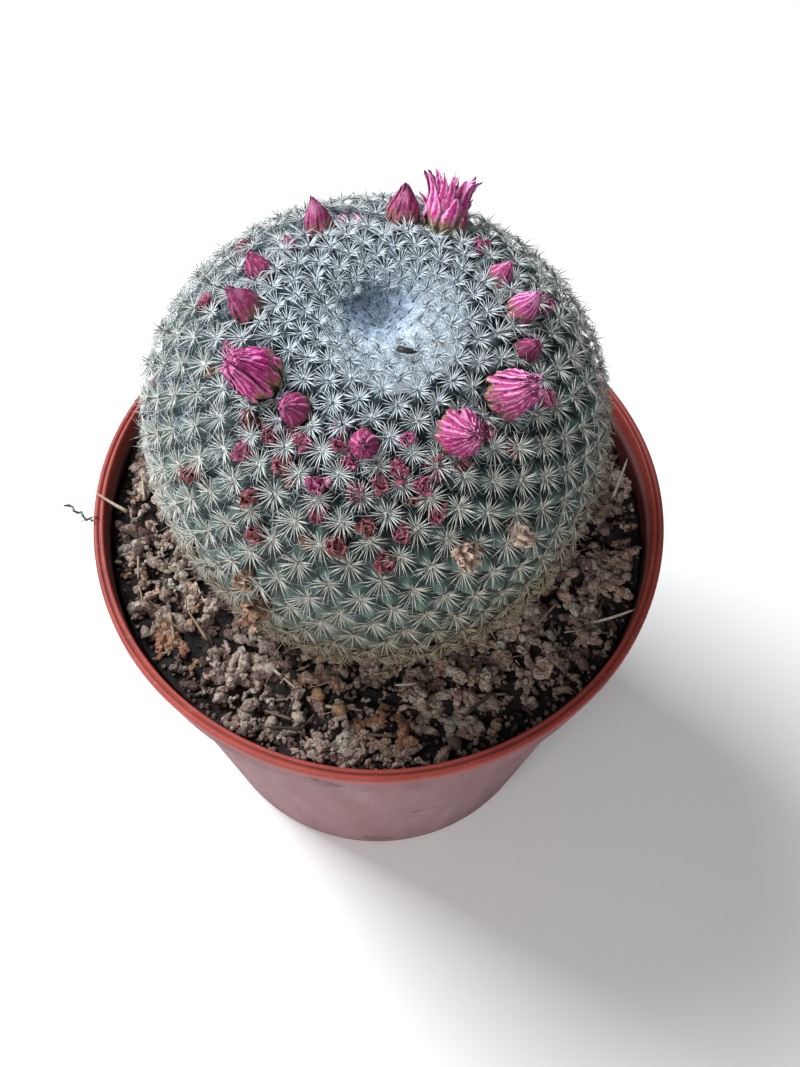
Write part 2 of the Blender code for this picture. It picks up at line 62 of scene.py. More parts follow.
CAMERA_DISTANCE = 253.15 * MM
CAMERA_ELEVATION = math.radians(61.19)
CAMERA_ROLL = math.radians(2.2)
CAMERA_ASIDE = -4.32 * MM
CAMERA_RAISED = 6.56 * MM
LENS, FILM_WIDTH = 40.5, 36


def aim_camera():
    """The camera looks down on the middle of the pot's rim, from in front and a little askew."""
    forward = Vector((0, math.cos(CAMERA_ELEVATION), -math.sin(CAMERA_ELEVATION)))
    level, level_up = Vector((1, 0, 0)), Vector((0, math.sin(CAMERA_ELEVATION), math.cos(CAMERA_ELEVATION)))
    right = math.cos(CAMERA_ROLL) * level + math.sin(CAMERA_ROLL) * level_up
    up = -math.sin(CAMERA_ROLL) * level + math.cos(CAMERA_ROLL) * level_up
    optics = bpy.data.cameras.new("camera")
    optics.sensor_width = FILM_WIDTH
    optics.lens = LENS
    optics.clip_start = 0.01
    camera = bpy.data.objects.new("camera", optics)
    bpy.context.scene.collection.objects.link(camera)
    camera.matrix_world = Matrix((right, up, -forward)).transposed().to_4x4()
    aside = CAMERA_ASIDE * right + CAMERA_RAISED * up
    camera.location = Vector((0, 0, pot_top)) - CAMERA_DISTANCE * forward - aside
    bpy.context.scene.camera = camera


def soft_light(name, place, size, watts, colour):
    """A square panel of light that faces the plant."""
    panel = bpy.data.lights.new(name, "AREA")
    panel.shape = "SQUARE"
    panel.size, panel.energy, panel.color = size, watts, colour
    light = bpy.data.objects.new(name, panel)
    bpy.context.scene.collection.objects.link(light)
    light.location = place
    light.rotation_euler = (Vector((0, 0, pot_top)) - Vector(place)).to_track_quat("-Z", "Y").to_euler()


aim_camera()
soft_light("window", (-0.44, 0.28, 0.66), 0.40, 10.5, (0.95, 0.98, 1.0))
soft_light("room_front", (-0.30, -0.66, 0.50), 0.6, 4.3, (1.0, 0.98, 0.95))
room = bpy.data.worlds.new("room")
room.use_nodes = True
room.node_tree.nodes["Background"].inputs["Color"].default_value = (0.93, 0.96, 1.0, 1.0)
room.node_tree.nodes["Background"].inputs["Strength"].default_value = 0.19
bpy.context.scene.world = room
bpy.context.scene.view_settings.view_transform = "Standard"

bpy.ops.mesh.primitive_plane_add(size=6.0)
floor = bpy.context.object
floor.name = "tabletop"
pale = bpy.data.materials.new("pale_tabletop")
pale.use_nodes = True
pale.node_tree.nodes["Principled BSDF"].inputs["Base Color"].default_value = (0.92, 0.92, 0.92, 1.0)
pale.node_tree.nodes["Principled BSDF"].inputs["Roughness"].default_value = 0.8
floor.data.materials.append(pale)


# ---------------------------------------------------------------------------
# The pot. One thin shell of terracotta-red polypropylene, moulded with a rolled lip, a band that
# stiffens it and drain holes. Years of hard water have left a chalky bloom outside.
LIP_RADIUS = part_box("pot")[1].x
LIP_HEIGHT = 2.8 * MM
BAND_RADIUS = 58.2 * MM
BAND_HEIGHT = 14 * MM
GROOVE_RADIUS = 58.72 * MM
GROOVE_WIDTH = 0.24 * MM
SHOULDER_RADIUS = 56.3 * MM
FOOT_RADIUS = 46 * MM
FOOT_WIDTH = 3.5 * MM
FLOOR_RISE = 3 * MM
WALL = 1.2 * MM
WALL_TAPER = 0.12
DRAIN_RADIUS = 3.2 * MM
DRAIN_CIRCLE = 30 * MM
POT_SIDES = 192


def new_mesh(name, points, faces, smooth=True, **masks):
    """An object from points and faces. Each mask keeps one number for each point, for its material."""
    mesh = bpy.data.meshes.new(name)
    points = np.asarray(points, float).tolist()
    mesh.from_pydata(points, [], faces.tolist() if isinstance(faces, np.ndarray) else faces)
    mesh.validate()
    if smooth:
        mesh.shade_smooth()
    for mask, values in masks.items():
        set_mask(mesh, mask, values)
    piece = bpy.data.objects.new(name, mesh)
    bpy.context.scene.collection.objects.link(piece)
    return piece


def set_mask(mesh, name, values):
    mesh.attributes.new(name, "FLOAT", "POINT").data.foreach_set("value", np.asarray(values, np.float32))


def ring(radius, height, sides):
    """Points of a level circle about Z."""
    angles = [TURN * i / sides for i in range(sides)]
    return [(radius * math.cos(angle), radius * math.sin(angle), height) for angle in angles]


def quads(rows, columns, first=0, closed=True, over=False):
    """Faces between rows of points. Closed rows are rings, and over turns the faces over."""
    faces = []
    for r in range(rows - 1):
        for i in range(columns if closed else columns - 1):
            a, b = (first + r * columns + k % columns for k in (i, i + 1))
            faces.append((a, b, b + columns, a + columns) if over else (a, a + columns, b + columns, b))
    return faces


def turned(profile, sides):
    """Points and faces of a solid turned about Z, from (radius, height) pairs from axis to axis."""
    points = [(0.0, 0.0, profile[0][1])]
    for radius, height in profile[1:-1]:
        points += ring(radius, height, sides)
    last = len(points) - sides
    points.append((0.0, 0.0, profile[-1][1]))
    faces = [(0, 1 + i, 1 + (i + 1) % sides) for i in range(sides)] + quads(len(profile) - 2, sides, 1)
    faces += [(last + i, last + sides, last + (i + 1) % sides) for i in range(sides)]
    return points, faces


def rounded(centre, radius, start, end, steps=5):
    """Points of an arc of the profile, from one direction to another in degrees."""
    angles = [math.radians(start + (end - start) * i / steps) for i in range(steps + 1)]
    return [(centre[0] + radius * math.cos(a), centre[1] + radius * math.sin(a)) for a in angles]


def straight(a, b, steps):
    """Points between two corners of the profile, without the corners."""
    return [(a[0] + (b[0] - a[0]) * i / steps, a[1] + (b[1] - a[1]) * i / steps) for i in range(1, steps)]


def pot_profile():
    """Half the pot's section: up the inside from the floor, over the lip and down the outside."""
    band_foot = pot_top - BAND_HEIGHT
    slope = (SHOULDER_RADIUS - FOOT_RADIUS) / band_foot
    inner_foot = (FOOT_RADIUS - WALL + slope * (FLOOR_RISE + WALL), FLOOR_RISE + WALL)
    inner_shoulder = (SHOULDER_RADIUS - WALL, band_foot + WALL * 0.6)
    inner_band = (BAND_RADIUS - WALL, band_foot + WALL)
    inner_lip = (BAND_RADIUS - 0.45 * MM, pot_top - 0.6 * MM)
    under_lip = (BAND_RADIUS, pot_top - LIP_HEIGHT - 0.6 * MM)
    shoulder = (SHOULDER_RADIUS, band_foot - 0.6 * MM)
    return [
        (0, FLOOR_RISE + WALL),
        inner_foot,
        *straight(inner_foot, inner_shoulder, 12),
        inner_shoulder,
        inner_band,
        *straight(inner_band, inner_lip, 6),
        # The lip's top is two ridges with a groove between them, where dirt gathers.
        *rounded((BAND_RADIUS, pot_top - 0.45 * MM), 0.45 * MM, 170, 40),
        (GROOVE_RADIUS - 0.08 * MM, pot_top - 0.50 * MM),
        (GROOVE_RADIUS + 0.08 * MM, pot_top - 0.54 * MM),
        *rounded((LIP_RADIUS - 0.62 * MM, pot_top - 0.75 * MM), 0.62 * MM, 145, 0),
        *rounded((LIP_RADIUS - 0.5 * MM, pot_top - LIP_HEIGHT + 0.5 * MM), 0.5 * MM, 0, -90, 3),
        (BAND_RADIUS + 0.3 * MM, pot_top - LIP_HEIGHT - 0.1 * MM),
        under_lip,
        *straight(under_lip, (BAND_RADIUS, band_foot + 0.5 * MM), 5),
        *rounded((BAND_RADIUS - 0.5 * MM, band_foot + 0.5 * MM), 0.5 * MM, 0, -90, 3),
        shoulder,
        *straight(shoulder, (FOOT_RADIUS, 0.8 * MM), 14),
        *rounded((FOOT_RADIUS - 0.8 * MM, 0.8 * MM), 0.8 * MM, 0, -90, 3),
        (FOOT_RADIUS - FOOT_WIDTH, 0),
        (FOOT_RADIUS - FOOT_WIDTH - 0.6 * MM, FLOOR_RISE),
        (0, FLOOR_RISE),
    ]


class Look:
    """The nodes of one material or group. Sockets, numbers and colours all serve as inputs."""

    def __init__(self, tree, where=None):
        self.tree = tree
        self.where = where or self.node("ShaderNodeTexCoord").outputs["Object"]

    def node(self, kind, inputs=(), **settings):
        made = self.tree.nodes.new(kind)
        for name, value in settings.items():
            setattr(made, name, value)
        for name, value in dict(inputs).items():
            socket = made.inputs[name]
            if isinstance(value, bpy.types.NodeSocket):
                self.tree.links.new(value, socket)
            else:
                socket.default_value = (*value, 1.0) if socket.type == "RGBA" else value
        return made

    def mask(self, name):
        return self.node("ShaderNodeAttribute", attribute_name=name).outputs["Fac"]

    def grains(self, scale, detail=3.0, roughness=0.55, where=None):
        """Fractal noise from 0 to 1."""
        inputs = {"Vector": where or self.where, "Scale": scale, "Detail": detail, "Roughness": roughness}
        return self.node("ShaderNodeTexNoise", inputs).outputs["Fac"]

    def ramp(self, factor, *stops):
        """A colour ramp over (position, colour or grey) stops."""
        made = self.node("ShaderNodeValToRGB", {"Fac": factor})
        band = made.color_ramp
        while len(band.elements) < len(stops):
            band.elements.new(0.5)
        for element, (position, colour) in zip(band.elements, stops):
            element.position = position
            element.color = (*colour, 1.0) if isinstance(colour, tuple) else (colour, colour, colour, 1.0)
        return made.outputs["Color"]

    def mix(self, factor, a, b, blend="MIX"):
        """Two colours mixed."""
        inputs = {0: factor, 6: a, 7: b}
        return self.node("ShaderNodeMix", inputs, data_type="RGBA", blend_type=blend).outputs[2]

    def tint(self, colour, by):
        return self.mix(1.0, colour, by, "MULTIPLY")

    def maths(self, operation, a, b=0.0, clamp=False):
        made = self.node("ShaderNodeMath", {0: a, 1: b}, operation=operation, use_clamp=clamp)
        return made.outputs["Value"]

    def times(self, a, b):
        return self.maths("MULTIPLY", a, b)

    def plus(self, a, b):
        return self.maths("ADD", a, b)

    def off(self, a, middle, times):
        """How far a value is off a middle one, times a number."""
        return self.times(self.maths("SUBTRACT", a, middle), times)

    def splashed(self, size, amount):
        inputs = {"Where": self.where, "Size": size, "Amount": amount}
        return self.node("ShaderNodeGroup", inputs, node_tree=splashes).outputs["Mask"]

    def shade(self, colour, height=None, distance=0.0, strength=1.0):
        """Ends the nodes in the shader: its colour, and a fine relief."""
        shader = self.tree.nodes["Principled BSDF"]
        self.tree.links.new(colour, shader.inputs["Base Color"])
        if height is not None:
            inputs = {"Height": height, "Distance": distance, "Strength": strength}
            relief = self.node("ShaderNodeBump", inputs)
            self.tree.links.new(relief.outputs["Normal"], shader.inputs["Normal"])


def splash_group():
    """Dried splashes of soil: a mask with a ragged edge."""
    group = bpy.data.node_groups.new("dried_splashes", "ShaderNodeTree")
    group.interface.new_socket("Where", in_out="INPUT", socket_type="NodeSocketVector")
    for name, way in (("Size", "INPUT"), ("Amount", "INPUT"), ("Mask", "OUTPUT")):
        group.interface.new_socket(name, in_out=way, socket_type="NodeSocketFloat")
    entry = group.nodes.new("NodeGroupInput").outputs
    look = Look(group, entry["Where"])
    limit = look.maths("SUBTRACT", 1.0, entry["Amount"])
    over = look.maths("SUBTRACT", look.grains(entry["Size"], 6.0, 0.62), limit)
    look.node("NodeGroupOutput", {"Mask": look.maths("MULTIPLY", over, 14.0, clamp=True)})
    return group


def material(name, roughness, specular=0.5):
    """A new material, and its nodes."""
    made = bpy.data.materials.new(name)
    made.use_nodes = True
    shader = made.node_tree.nodes["Principled BSDF"]
    shader.inputs["Roughness"].default_value = roughness
    shader.inputs["Specular IOR Level"].default_value = specular
    return made, Look(made.node_tree)


def pot_plastic():
    made, look = material("worn_terracotta_plastic", 0.5, 0.3)
    chalk, inside = look.mask("chalk"), look.mask("inside")
    cloud = look.grains(55, 5)
    streaks = look.node("ShaderNodeMapping", {"Vector": look.where, "Scale": (120.0, 120.0, 14.0)})
    drips = look.grains(1, 4, where=streaks.outputs["Vector"])
    red = look.ramp(cloud, (0.3, (0.230, 0.034, 0.028)), (0.7, (0.370, 0.062, 0.046)))
    bloom = ((0.25, (0.175, 0.085, 0.095)), (0.6, (0.255, 0.145, 0.160)), (0.85, (0.34, 0.23, 0.245)))
    amount = look.times(chalk, look.ramp(cloud, (0.2, 0.72), (0.55, 0.97)))
    colour = look.mix(amount, red, look.ramp(drips, *bloom))
    # The inside wall is painted much darker than the outside red: painted shade down inside the pot, with
    # some soil staining.
    dark = look.ramp(drips, (0.3, (0.036, 0.009, 0.008)), (0.75, (0.090, 0.018, 0.015)))
    colour = look.mix(inside, colour, dark)
    dirt = look.maths("MAXIMUM", look.splashed(210, 0.33), look.splashed(70, 0.37))
    dirt = look.times(dirt, look.maths("MAXIMUM", look.times(chalk, 0.75), inside))
    colour = look.mix(dirt, colour, (0.115, 0.066, 0.048))
    worn = look.ramp(look.grains(160, 4), (0.34, 0.10), (0.64, 0.80))
    colour = look.mix(look.times(look.mask("groove"), worn), colour, (0.130, 0.040, 0.032))
    scuff = look.ramp(look.grains(900, 2), (0.62, 0.0), (0.74, 0.35))
    colour = look.mix(look.times(scuff, look.mask("edge")), colour, (0.36, 0.20, 0.18))
    height = look.plus(look.times(look.grains(1400, 2), 0.15), look.times(dirt, 0.8))
    look.shade(colour, height, 0.25 * MM, 0.8)
    rough = look.plus(look.times(chalk, 0.20), 0.52)
    rough = look.maths("ADD", rough, look.times(dirt, 0.3), clamp=True)
    look.tree.links.new(rough, look.tree.nodes["Principled BSDF"].inputs["Roughness"])
    return made


def build_pot():
    pot = new_mesh("pot_shell", *turned(pot_profile(), POT_SIDES), smooth=False)
    drains = []
    for x, y, _ in ring(DRAIN_CIRCLE, 0, 6) + [(0, 0, 0)]:
        plug, sides = turned([(0, 4 * WALL), (DRAIN_RADIUS, 4 * WALL), (DRAIN_RADIUS, 0), (0, 0)], 32)
        drains.append(new_mesh("drain", [(a + x, b + y, z) for a, b, z in plug], sides))
        drains[-1].location.z = FLOOR_RISE - WALL
        hole = pot.modifiers.new("drain", "BOOLEAN")
        hole.operation = "DIFFERENCE"
        hole.object = drains[-1]
    mesh = bpy.data.meshes.new_from_object(pot.evaluated_get(bpy.context.evaluated_depsgraph_get()))
    pot.modifiers.clear()
    pot.data = mesh
    for drain in drains:
        bpy.data.objects.remove(drain)
    places = np.array([v.co for v in mesh.vertices])
    height = places[:, 2].copy()
    angle = np.arctan2(places[:, 1], places[:, 0])
    around = np.hypot(places[:, 0], places[:, 1])
    # Thin plastic is never quite round.
    sway = 0.12 * MM * np.sin(3 * angle + 0.6) + 0.07 * MM * np.sin(7 * angle)
    sway *= np.clip(height / pot_top, 0, 1)
    places[:, 0] += sway * np.cos(angle)
    places[:, 1] += sway * np.sin(angle)
    mesh.vertices.foreach_set("co", places.ravel())
    wall = SHOULDER_RADIUS + (height - pot_top + BAND_HEIGHT) * WALL_TAPER
    # The inside mask: the wall within the pot, which its material paints dark as painted shade.
    inner = (around < np.where(height > pot_top - BAND_HEIGHT, BAND_RADIUS, wall) - 0.6 * WALL) * 1.0
    inner *= height < pot_top - 0.9 * MM
    lip = np.clip((height - (pot_top - LIP_HEIGHT - 0.4 * MM)) / (0.5 * MM), 0, 1)
    groove = np.exp(-(((around - GROOVE_RADIUS) / GROOVE_WIDTH) ** 2)) * (height > pot_top - 1.5 * MM)
    outer = (1 - lip) * (1 - inner)
    for mask, values in (("inside", inner), ("chalk", outer), ("edge", lip), ("groove", groove)):
        set_mask(mesh, mask, values)
    mesh.shade_smooth()
    mesh.materials.clear()
    mesh.materials.append(pot_plastic())
    pot.modifiers.new("edges", "EDGE_SPLIT").split_angle = math.radians(50)
    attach(pot, "root")
    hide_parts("pot")


splashes = splash_group()
build_pot()


# ---------------------------------------------------------------------------
# The soil. Dark fibrous peat under a loose crust of pale grit and crumbs, with white perlite,
# rusty clay, root ends and bits of straw. It fills the pot to just under the lip.
SOIL_LEVEL = pot_top - 7 * MM
NECK_RADIUS = 27 * MM
SOIL_EDGE = 56.6 * MM
CHAINS, LOOSE_CRUMBS, STONES = 1250, 3100, 56
LARGE_CRUMBS, CLODS = 5000, 1800
STRAWS, TWIGS = 150, 26
# Tones above this are rusty clay or white, and those below it run from peat to dust.
CLAY_TONE = 0.78
# The turn from one thing to the next that keeps them evenly apart.
SPREAD_TURN = 2.39996
# Hollows in the crust, with rusty clay and white grains: middle and radius in millimetres.
HOLLOWS = (
    *((-53.4, -21.5, 3.2), (-32.4, -22.7, 3.4), (-37.5, -40.5, 5.0), (-3.6, -32.4, 3.6)),
    *((12, -49.7, 3.0), (30, -44, 4.5), (-29, -45, 3.0)),
)
RUSTY = ((-42.4, -31.0, 5.5), (-10.6, -33.8, 4.6), (-52.0, -17.1, 2.4), (3.0, -44.3, 4.0), (16, -36, 3.2))
WHITE = ((-3.1, -42.1, 2.2), (-48.8, -12.7, 3.2), (-40, -20, 2.0), (-20, -47, 2.0))

soil_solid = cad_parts["soil"].data
soil_faces = [face.vertices for face in soil_solid.polygons]
soil_surface = BVHTree.FromPolygons([v.co for v in soil_solid.vertices], soil_faces)


def soil_height(x, y):
    """Height of the packed soil at a place, which is held a little inside its edges."""
    far = math.hypot(x, y)
    held = min(max(far, NECK_RADIUS + 1.5 * MM), SOIL_EDGE - 0.3 * MM) / far
    return soil_surface.ray_cast(Vector((x * held, y * held, pot_top + 20 * MM)), Vector((0, 0, -1)))[0].z


def build_soil_bed():
    """The peat itself, rough all over, closed underneath."""
    rings, sides = 48, 250
    points = []
    for r in range(rings):
        radius = NECK_RADIUS - 3 * MM + (SOIL_EDGE - NECK_RADIUS + 3 * MM) * r / (rings - 1)
        for x, y, _ in ring(radius, 0, sides):
            rough = noise.fractal(Vector((x, y, 0)) * 420, 0.5, 2.2, 4)
            points.append((x, y, soil_height(x, y) + rough * MM - 0.7 * MM))
    last = len(points) + sides
    points += ring(44 * MM, FLOOR_RISE + 2 * WALL, sides) + ring(18 * MM, FLOOR_RISE + 2 * WALL, sides)
    under = [(last + i, i, (i + 1) % sides, last + (i + 1) % sides) for i in range(sides)]
    bed = new_mesh("soil_bed", points, quads(rings + 2, sides) + under)
    made, look = material("dark_peat", 0.95)
    crumbs = look.grains(700, 6, 0.7)
    stops = ((0.34, (0.004, 0.003, 0.004)), (0.54, (0.014, 0.010, 0.009)), (0.74, (0.060, 0.042, 0.032)))
    look.shade(look.ramp(crumbs, *stops), crumbs, 1.2 * MM)
    bed.data.materials.append(made)
    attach(bed, "root")
    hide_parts("soil")


def crumb_shape(draw, level):
    """One irregular crumb about the origin: points of a ball, pushed in and out."""
    ball = bmesh.new()
    bmesh.ops.create_icosphere(ball, subdivisions=level, radius=1.0)
    offset = Vector([draw.uniform(0, 50) for _ in range(3)])
    points = []
    for v in ball.verts:
        push = 1 + 0.55 * noise.noise(v.co * 1.3 + offset) + 0.35 * noise.noise(v.co * 3.1 + offset)
        points.append(v.co * push)
    faces = [[v.index for v in face.verts] for face in ball.faces]
    ball.free()
    return np.array(points), np.array(faces)


def scatter(name, shapes, rows, smooth=True):
    """Many copies of a few shapes in one mesh: the spot, size, tone and turn of each."""
    points, faces, tones = [], [], []
    count = 0
    for k, (spot, size, tone, turn) in enumerate(rows):
        shape, sides = shapes[k % len(shapes)]
        points.append(shape * size @ turn.T + spot)
        faces.append(sides + count)
        tones.append(np.full(len(shape), tone))
        count += len(shape)
    return new_mesh(name, np.concatenate(points), np.concatenate(faces), smooth, tone=np.concatenate(tones))


def spin(draw):
    """A random turn, as a matrix."""
    axis = Vector([draw.gauss(0, 1) for _ in range(3)]).normalized()
    return np.array(Matrix.Rotation(draw.uniform(0, TURN), 3, axis))


def laid(draw, heading, stretch):
    """A turn that lays a crumb along a heading and draws it out, as a matrix."""
    turn = Matrix.Rotation(heading, 3, "Z") @ Matrix.Rotation(draw.gauss(0, 0.45), 3, "Y")
    turn = turn @ Matrix.Diagonal((stretch, 1, draw.uniform(0.75, 1.15)))
    return np.array(turn @ Matrix.Rotation(draw.uniform(0, 6.28), 3, "X"))


def grit():
    """Crumbs and stones: the tone of each picks peat, dust, clay or white."""
    made, look = material("pale_grit", 0.9)
    dust = ((0.34, (0.200, 0.134, 0.122)), (0.55, (0.370, 0.300, 0.262)), (0.72, (0.570, 0.515, 0.455)))
    clay = ((0.80, (0.370, 0.180, 0.130)), (0.92, (0.430, 0.290, 0.165)), (0.97, (0.520, 0.520, 0.480)))
    peat = ((0.00, (0.016, 0.011, 0.010)), (0.16, (0.070, 0.042, 0.036)))
    body = look.ramp(look.mask("tone"), *peat, *dust, *clay)
    patches = look.ramp(look.grains(420), (0.35, (0.86, 0.72, 0.70)), (0.62, (1.08, 1.06, 0.98)))
    body = look.tint(body, patches)
    spots = look.grains(2100, 5, 0.7)
    look.shade(look.tint(body, look.ramp(spots, (0.32, 0.22), (0.50, 0.85), (0.66, 1.40))), spots, 0.6 * MM)
    return made


def inside(spots, x, y):
    """How well a place lies within one of some round spots."""
    return max(math.exp(-(((x - a * MM) ** 2 + (y - b * MM) ** 2) / (c * MM) ** 2)) for a, b, c in spots)


def bare(x, y):
    """Where the crust is thin and the dark peat shows: in the hollows, and by the wall in front."""
    side = max(0.0, math.cos(math.atan2(y, x) + 0.45))
    edge = max(0.0, (math.hypot(x, y) - 45 * MM) / (11 * MM))
    hollow = (SOIL_LEVEL - 0.03 * x - soil_height(x, y)) / (1.2 * MM)
    return 0.02 + 0.02 * side + 0.16 * edge * side + 0.12 * hollow + 1.1 * inside(HOLLOWS, x, y)


def soil_spot(draw, inner, outer):
    """A random place on the soil, spread evenly, and its azimuth."""
    radius = math.sqrt(draw.uniform(inner**2, outer**2))
    angle = draw.uniform(0, TURN)
    return radius * math.cos(angle), radius * math.sin(angle), angle


def crumb_chain(draw, x, y, steps, size, tone, rows):
    """A clump: crumbs stuck to each other in a winding, branching chain over the peat."""
    heading = draw.uniform(0, TURN)
    lift = draw.uniform(-0.4, 0.4) * MM
    for _ in range(steps):
        own = size * draw.uniform(0.62, 1.3)
        stretch = draw.uniform(1.0, 1.7)
        if not 29 * MM < math.hypot(x, y) < SOIL_EDGE - own * stretch * 0.8:
            break
        # Crumbs that lie lower are painted darker: painted shade in the gaps of the crust, and peat
        # staining.
        if tone < CLAY_TONE:
            shade = min(0.76, tone + 0.12 * (lift / MM) + draw.uniform(-0.08, 0.08))
        else:
            shade = min(0.999, tone + draw.uniform(-0.04, 0.04))
        rows.append(((x, y, soil_height(x, y) + lift), own, max(0.0, shade), laid(draw, heading, stretch)))
        heading += draw.uniform(-1.3, 1.3)
        step = own * stretch * draw.uniform(0.75, 1.15)
        x, y = x + step * math.cos(heading), y + step * math.sin(heading)
        lift = min(1.3 * MM, max(-0.5 * MM, lift + draw.uniform(-0.42, 0.46) * MM))
        if draw.random() < 0.14 and steps > 4:
            crumb_chain(draw, x, y, steps // 2, size * 0.85, tone, rows)


def clump_tone(draw, x, y):
    """Beige and dusty at the left, pinkish brown in front, with a few rusty and a few white clumps."""
    if draw.random() < 0.85 * inside(RUSTY, x, y):
        return draw.uniform(0.80, 0.92)
    if draw.random() < 0.02 + 0.6 * inside(WHITE, x, y):
        return 0.99
    # The crust is painted lighter in front and on the right: painted light where the stem shades the soil.
    front = max(0.0, min(1.0, (-y - 20 * MM) / (30 * MM))) * (1 if x > -15 * MM else 0.35)
    left = max(0.0, min(1.0, (-x - 30 * MM) / (15 * MM))) * (1 if y > -20 * MM else 0.3)
    right = max(0.0, min(1.0, x / (45 * MM)))
    return min(0.76, max(0.06, draw.gauss(0.38 + 0.42 * front + 0.20 * right + 0.22 * left, 0.17)))


def build_crust():
    """The loose crust: clumps, single crumbs between them, and round stones."""
    draw = random.Random(5)
    fine = [crumb_shape(draw, 1) for _ in range(30)]
    coarse = [crumb_shape(draw, 2) for _ in range(30)]
    rows = []
    for _ in range(CHAINS):
        x, y, _ = soil_spot(draw, 29.5 * MM, SOIL_EDGE - 0.8 * MM)
        if draw.random() >= bare(x, y):
            size = draw.choice((0.40, 0.50, 0.64, 0.90)) * MM
            crumb_chain(draw, x, y, draw.randint(3, 8), size, clump_tone(draw, x, y), rows)
    for _ in range(LOOSE_CRUMBS):
        x, y, angle = soil_spot(draw, 29.5 * MM, SOIL_EDGE - 0.5 * MM)
        tone = max(0.0, min(0.7, clump_tone(draw, x, y)) * draw.uniform(0.3, 0.9))
        size = draw.uniform(0.24, 0.60) * MM
        rows.append(((x, y, soil_height(x, y) - 0.35 * MM), size, tone, laid(draw, angle, 1.2)))
    rows.sort(key=lambda row: row[1])
    stones = [crumb_shape(draw, 2) for _ in range(8)]
    pebbles = []
    for k in range(STONES):
        radius = math.sqrt(draw.uniform((34 * MM) ** 2, (SOIL_EDGE - 2.4 * MM) ** 2))
        angle = k * SPREAD_TURN + draw.uniform(-0.2, 0.2)
        x, y = radius * math.cos(angle), radius * math.sin(angle)
        size = draw.uniform(0.8, 1.5) * MM
        tone = draw.choice((0.99, 0.7, 0.6, 0.5, 0.45, 0.9))
        pebbles.append(((x, y, soil_height(x, y) + 0.5 * size), size, tone, spin(draw)))
    finish = grit()
    for name, shapes, chosen, smooth in (
        ("fine_crumbs", fine, rows[:-LARGE_CRUMBS], False),
        ("coarse_crumbs", fine, rows[-LARGE_CRUMBS:-CLODS], False),
        ("clods", coarse, rows[-CLODS:], False),
        ("stones", stones, pebbles, True),
    ):
        crust = scatter(name, shapes, chosen, smooth)
        crust.data.materials.append(finish)
        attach(crust, "root")


def bristles(name, rows, rings=2, sides=3, taper=0.85, shaded=False, **masks):
    """Tapered, bent spines or fibres in one mesh: root, way, bend, length and width of each, and masks."""
    roots, ways, bends, lengths, widths = (np.array(column, float) for column in [*zip(*rows)][:5])
    lengths, widths = lengths[:, None], widths[:, None]
    ways = ways / np.linalg.norm(ways, axis=1, keepdims=True)
    level = np.where(np.abs(ways[:, 2:3]) < 0.9, [[0.0, 0.0, 1.0]], [[1.0, 0.0, 0.0]])
    across = np.cross(ways, level)
    across /= np.linalg.norm(across, axis=1, keepdims=True)
    other = np.cross(ways, across)
    each = rings * sides + 1
    points = np.empty((len(roots), each, 3))
    for k in range(each - 1):
        share, angle = k // sides / rings, TURN * (k % sides) / sides
        middle = roots + ways * lengths * share + bends * share**2
        out = across * math.cos(angle) + other * math.sin(angle)
        points[:, k] = middle + out * widths * (1 - taper * share)
    points[:, -1] = roots + ways * lengths + bends
    one = [(0, k, k + 1) for k in range(1, sides - 1)]
    for a, b, c, d in quads(rings, sides):
        one += [(a, c, d), (a, b, c)]
    last = each - 1 - sides
    one += [(last + s, each - 1, last + (s + 1) % sides) for s in range(sides)]
    faces = (np.array(one)[None] + np.arange(len(roots))[:, None, None] * each).reshape(-1, 3)
    masks = {mask: np.repeat(values, each) for mask, values in masks.items()}
    if shaded:
        masks["along"] = ([k // sides / rings for k in range(each - 1)] + [1.0]) * len(roots)
    return new_mesh(name, points.reshape(-1, 3), faces, **masks)


def straw():
    made, look = material("dry_straw_and_roots", 0.75)
    tone = look.mask("tone")
    dark = ((0.0, (0.045, 0.028, 0.02)), (0.35, (0.20, 0.135, 0.085)))
    colour = look.ramp(tone, *dark, (0.7, (0.42, 0.34, 0.25)), (1.0, (0.60, 0.54, 0.46)))
    colour = look.mix(look.ramp(tone, (0.990, 0.0), (0.999, 1.0)), colour, (0.16, 0.19, 0.23))
    fibre = look.grains(2200)
    look.shade(look.tint(colour, look.ramp(fibre, (0.3, 0.55), (0.65, 1.15))), fibre, 0.2 * MM, 0.7)
    return made


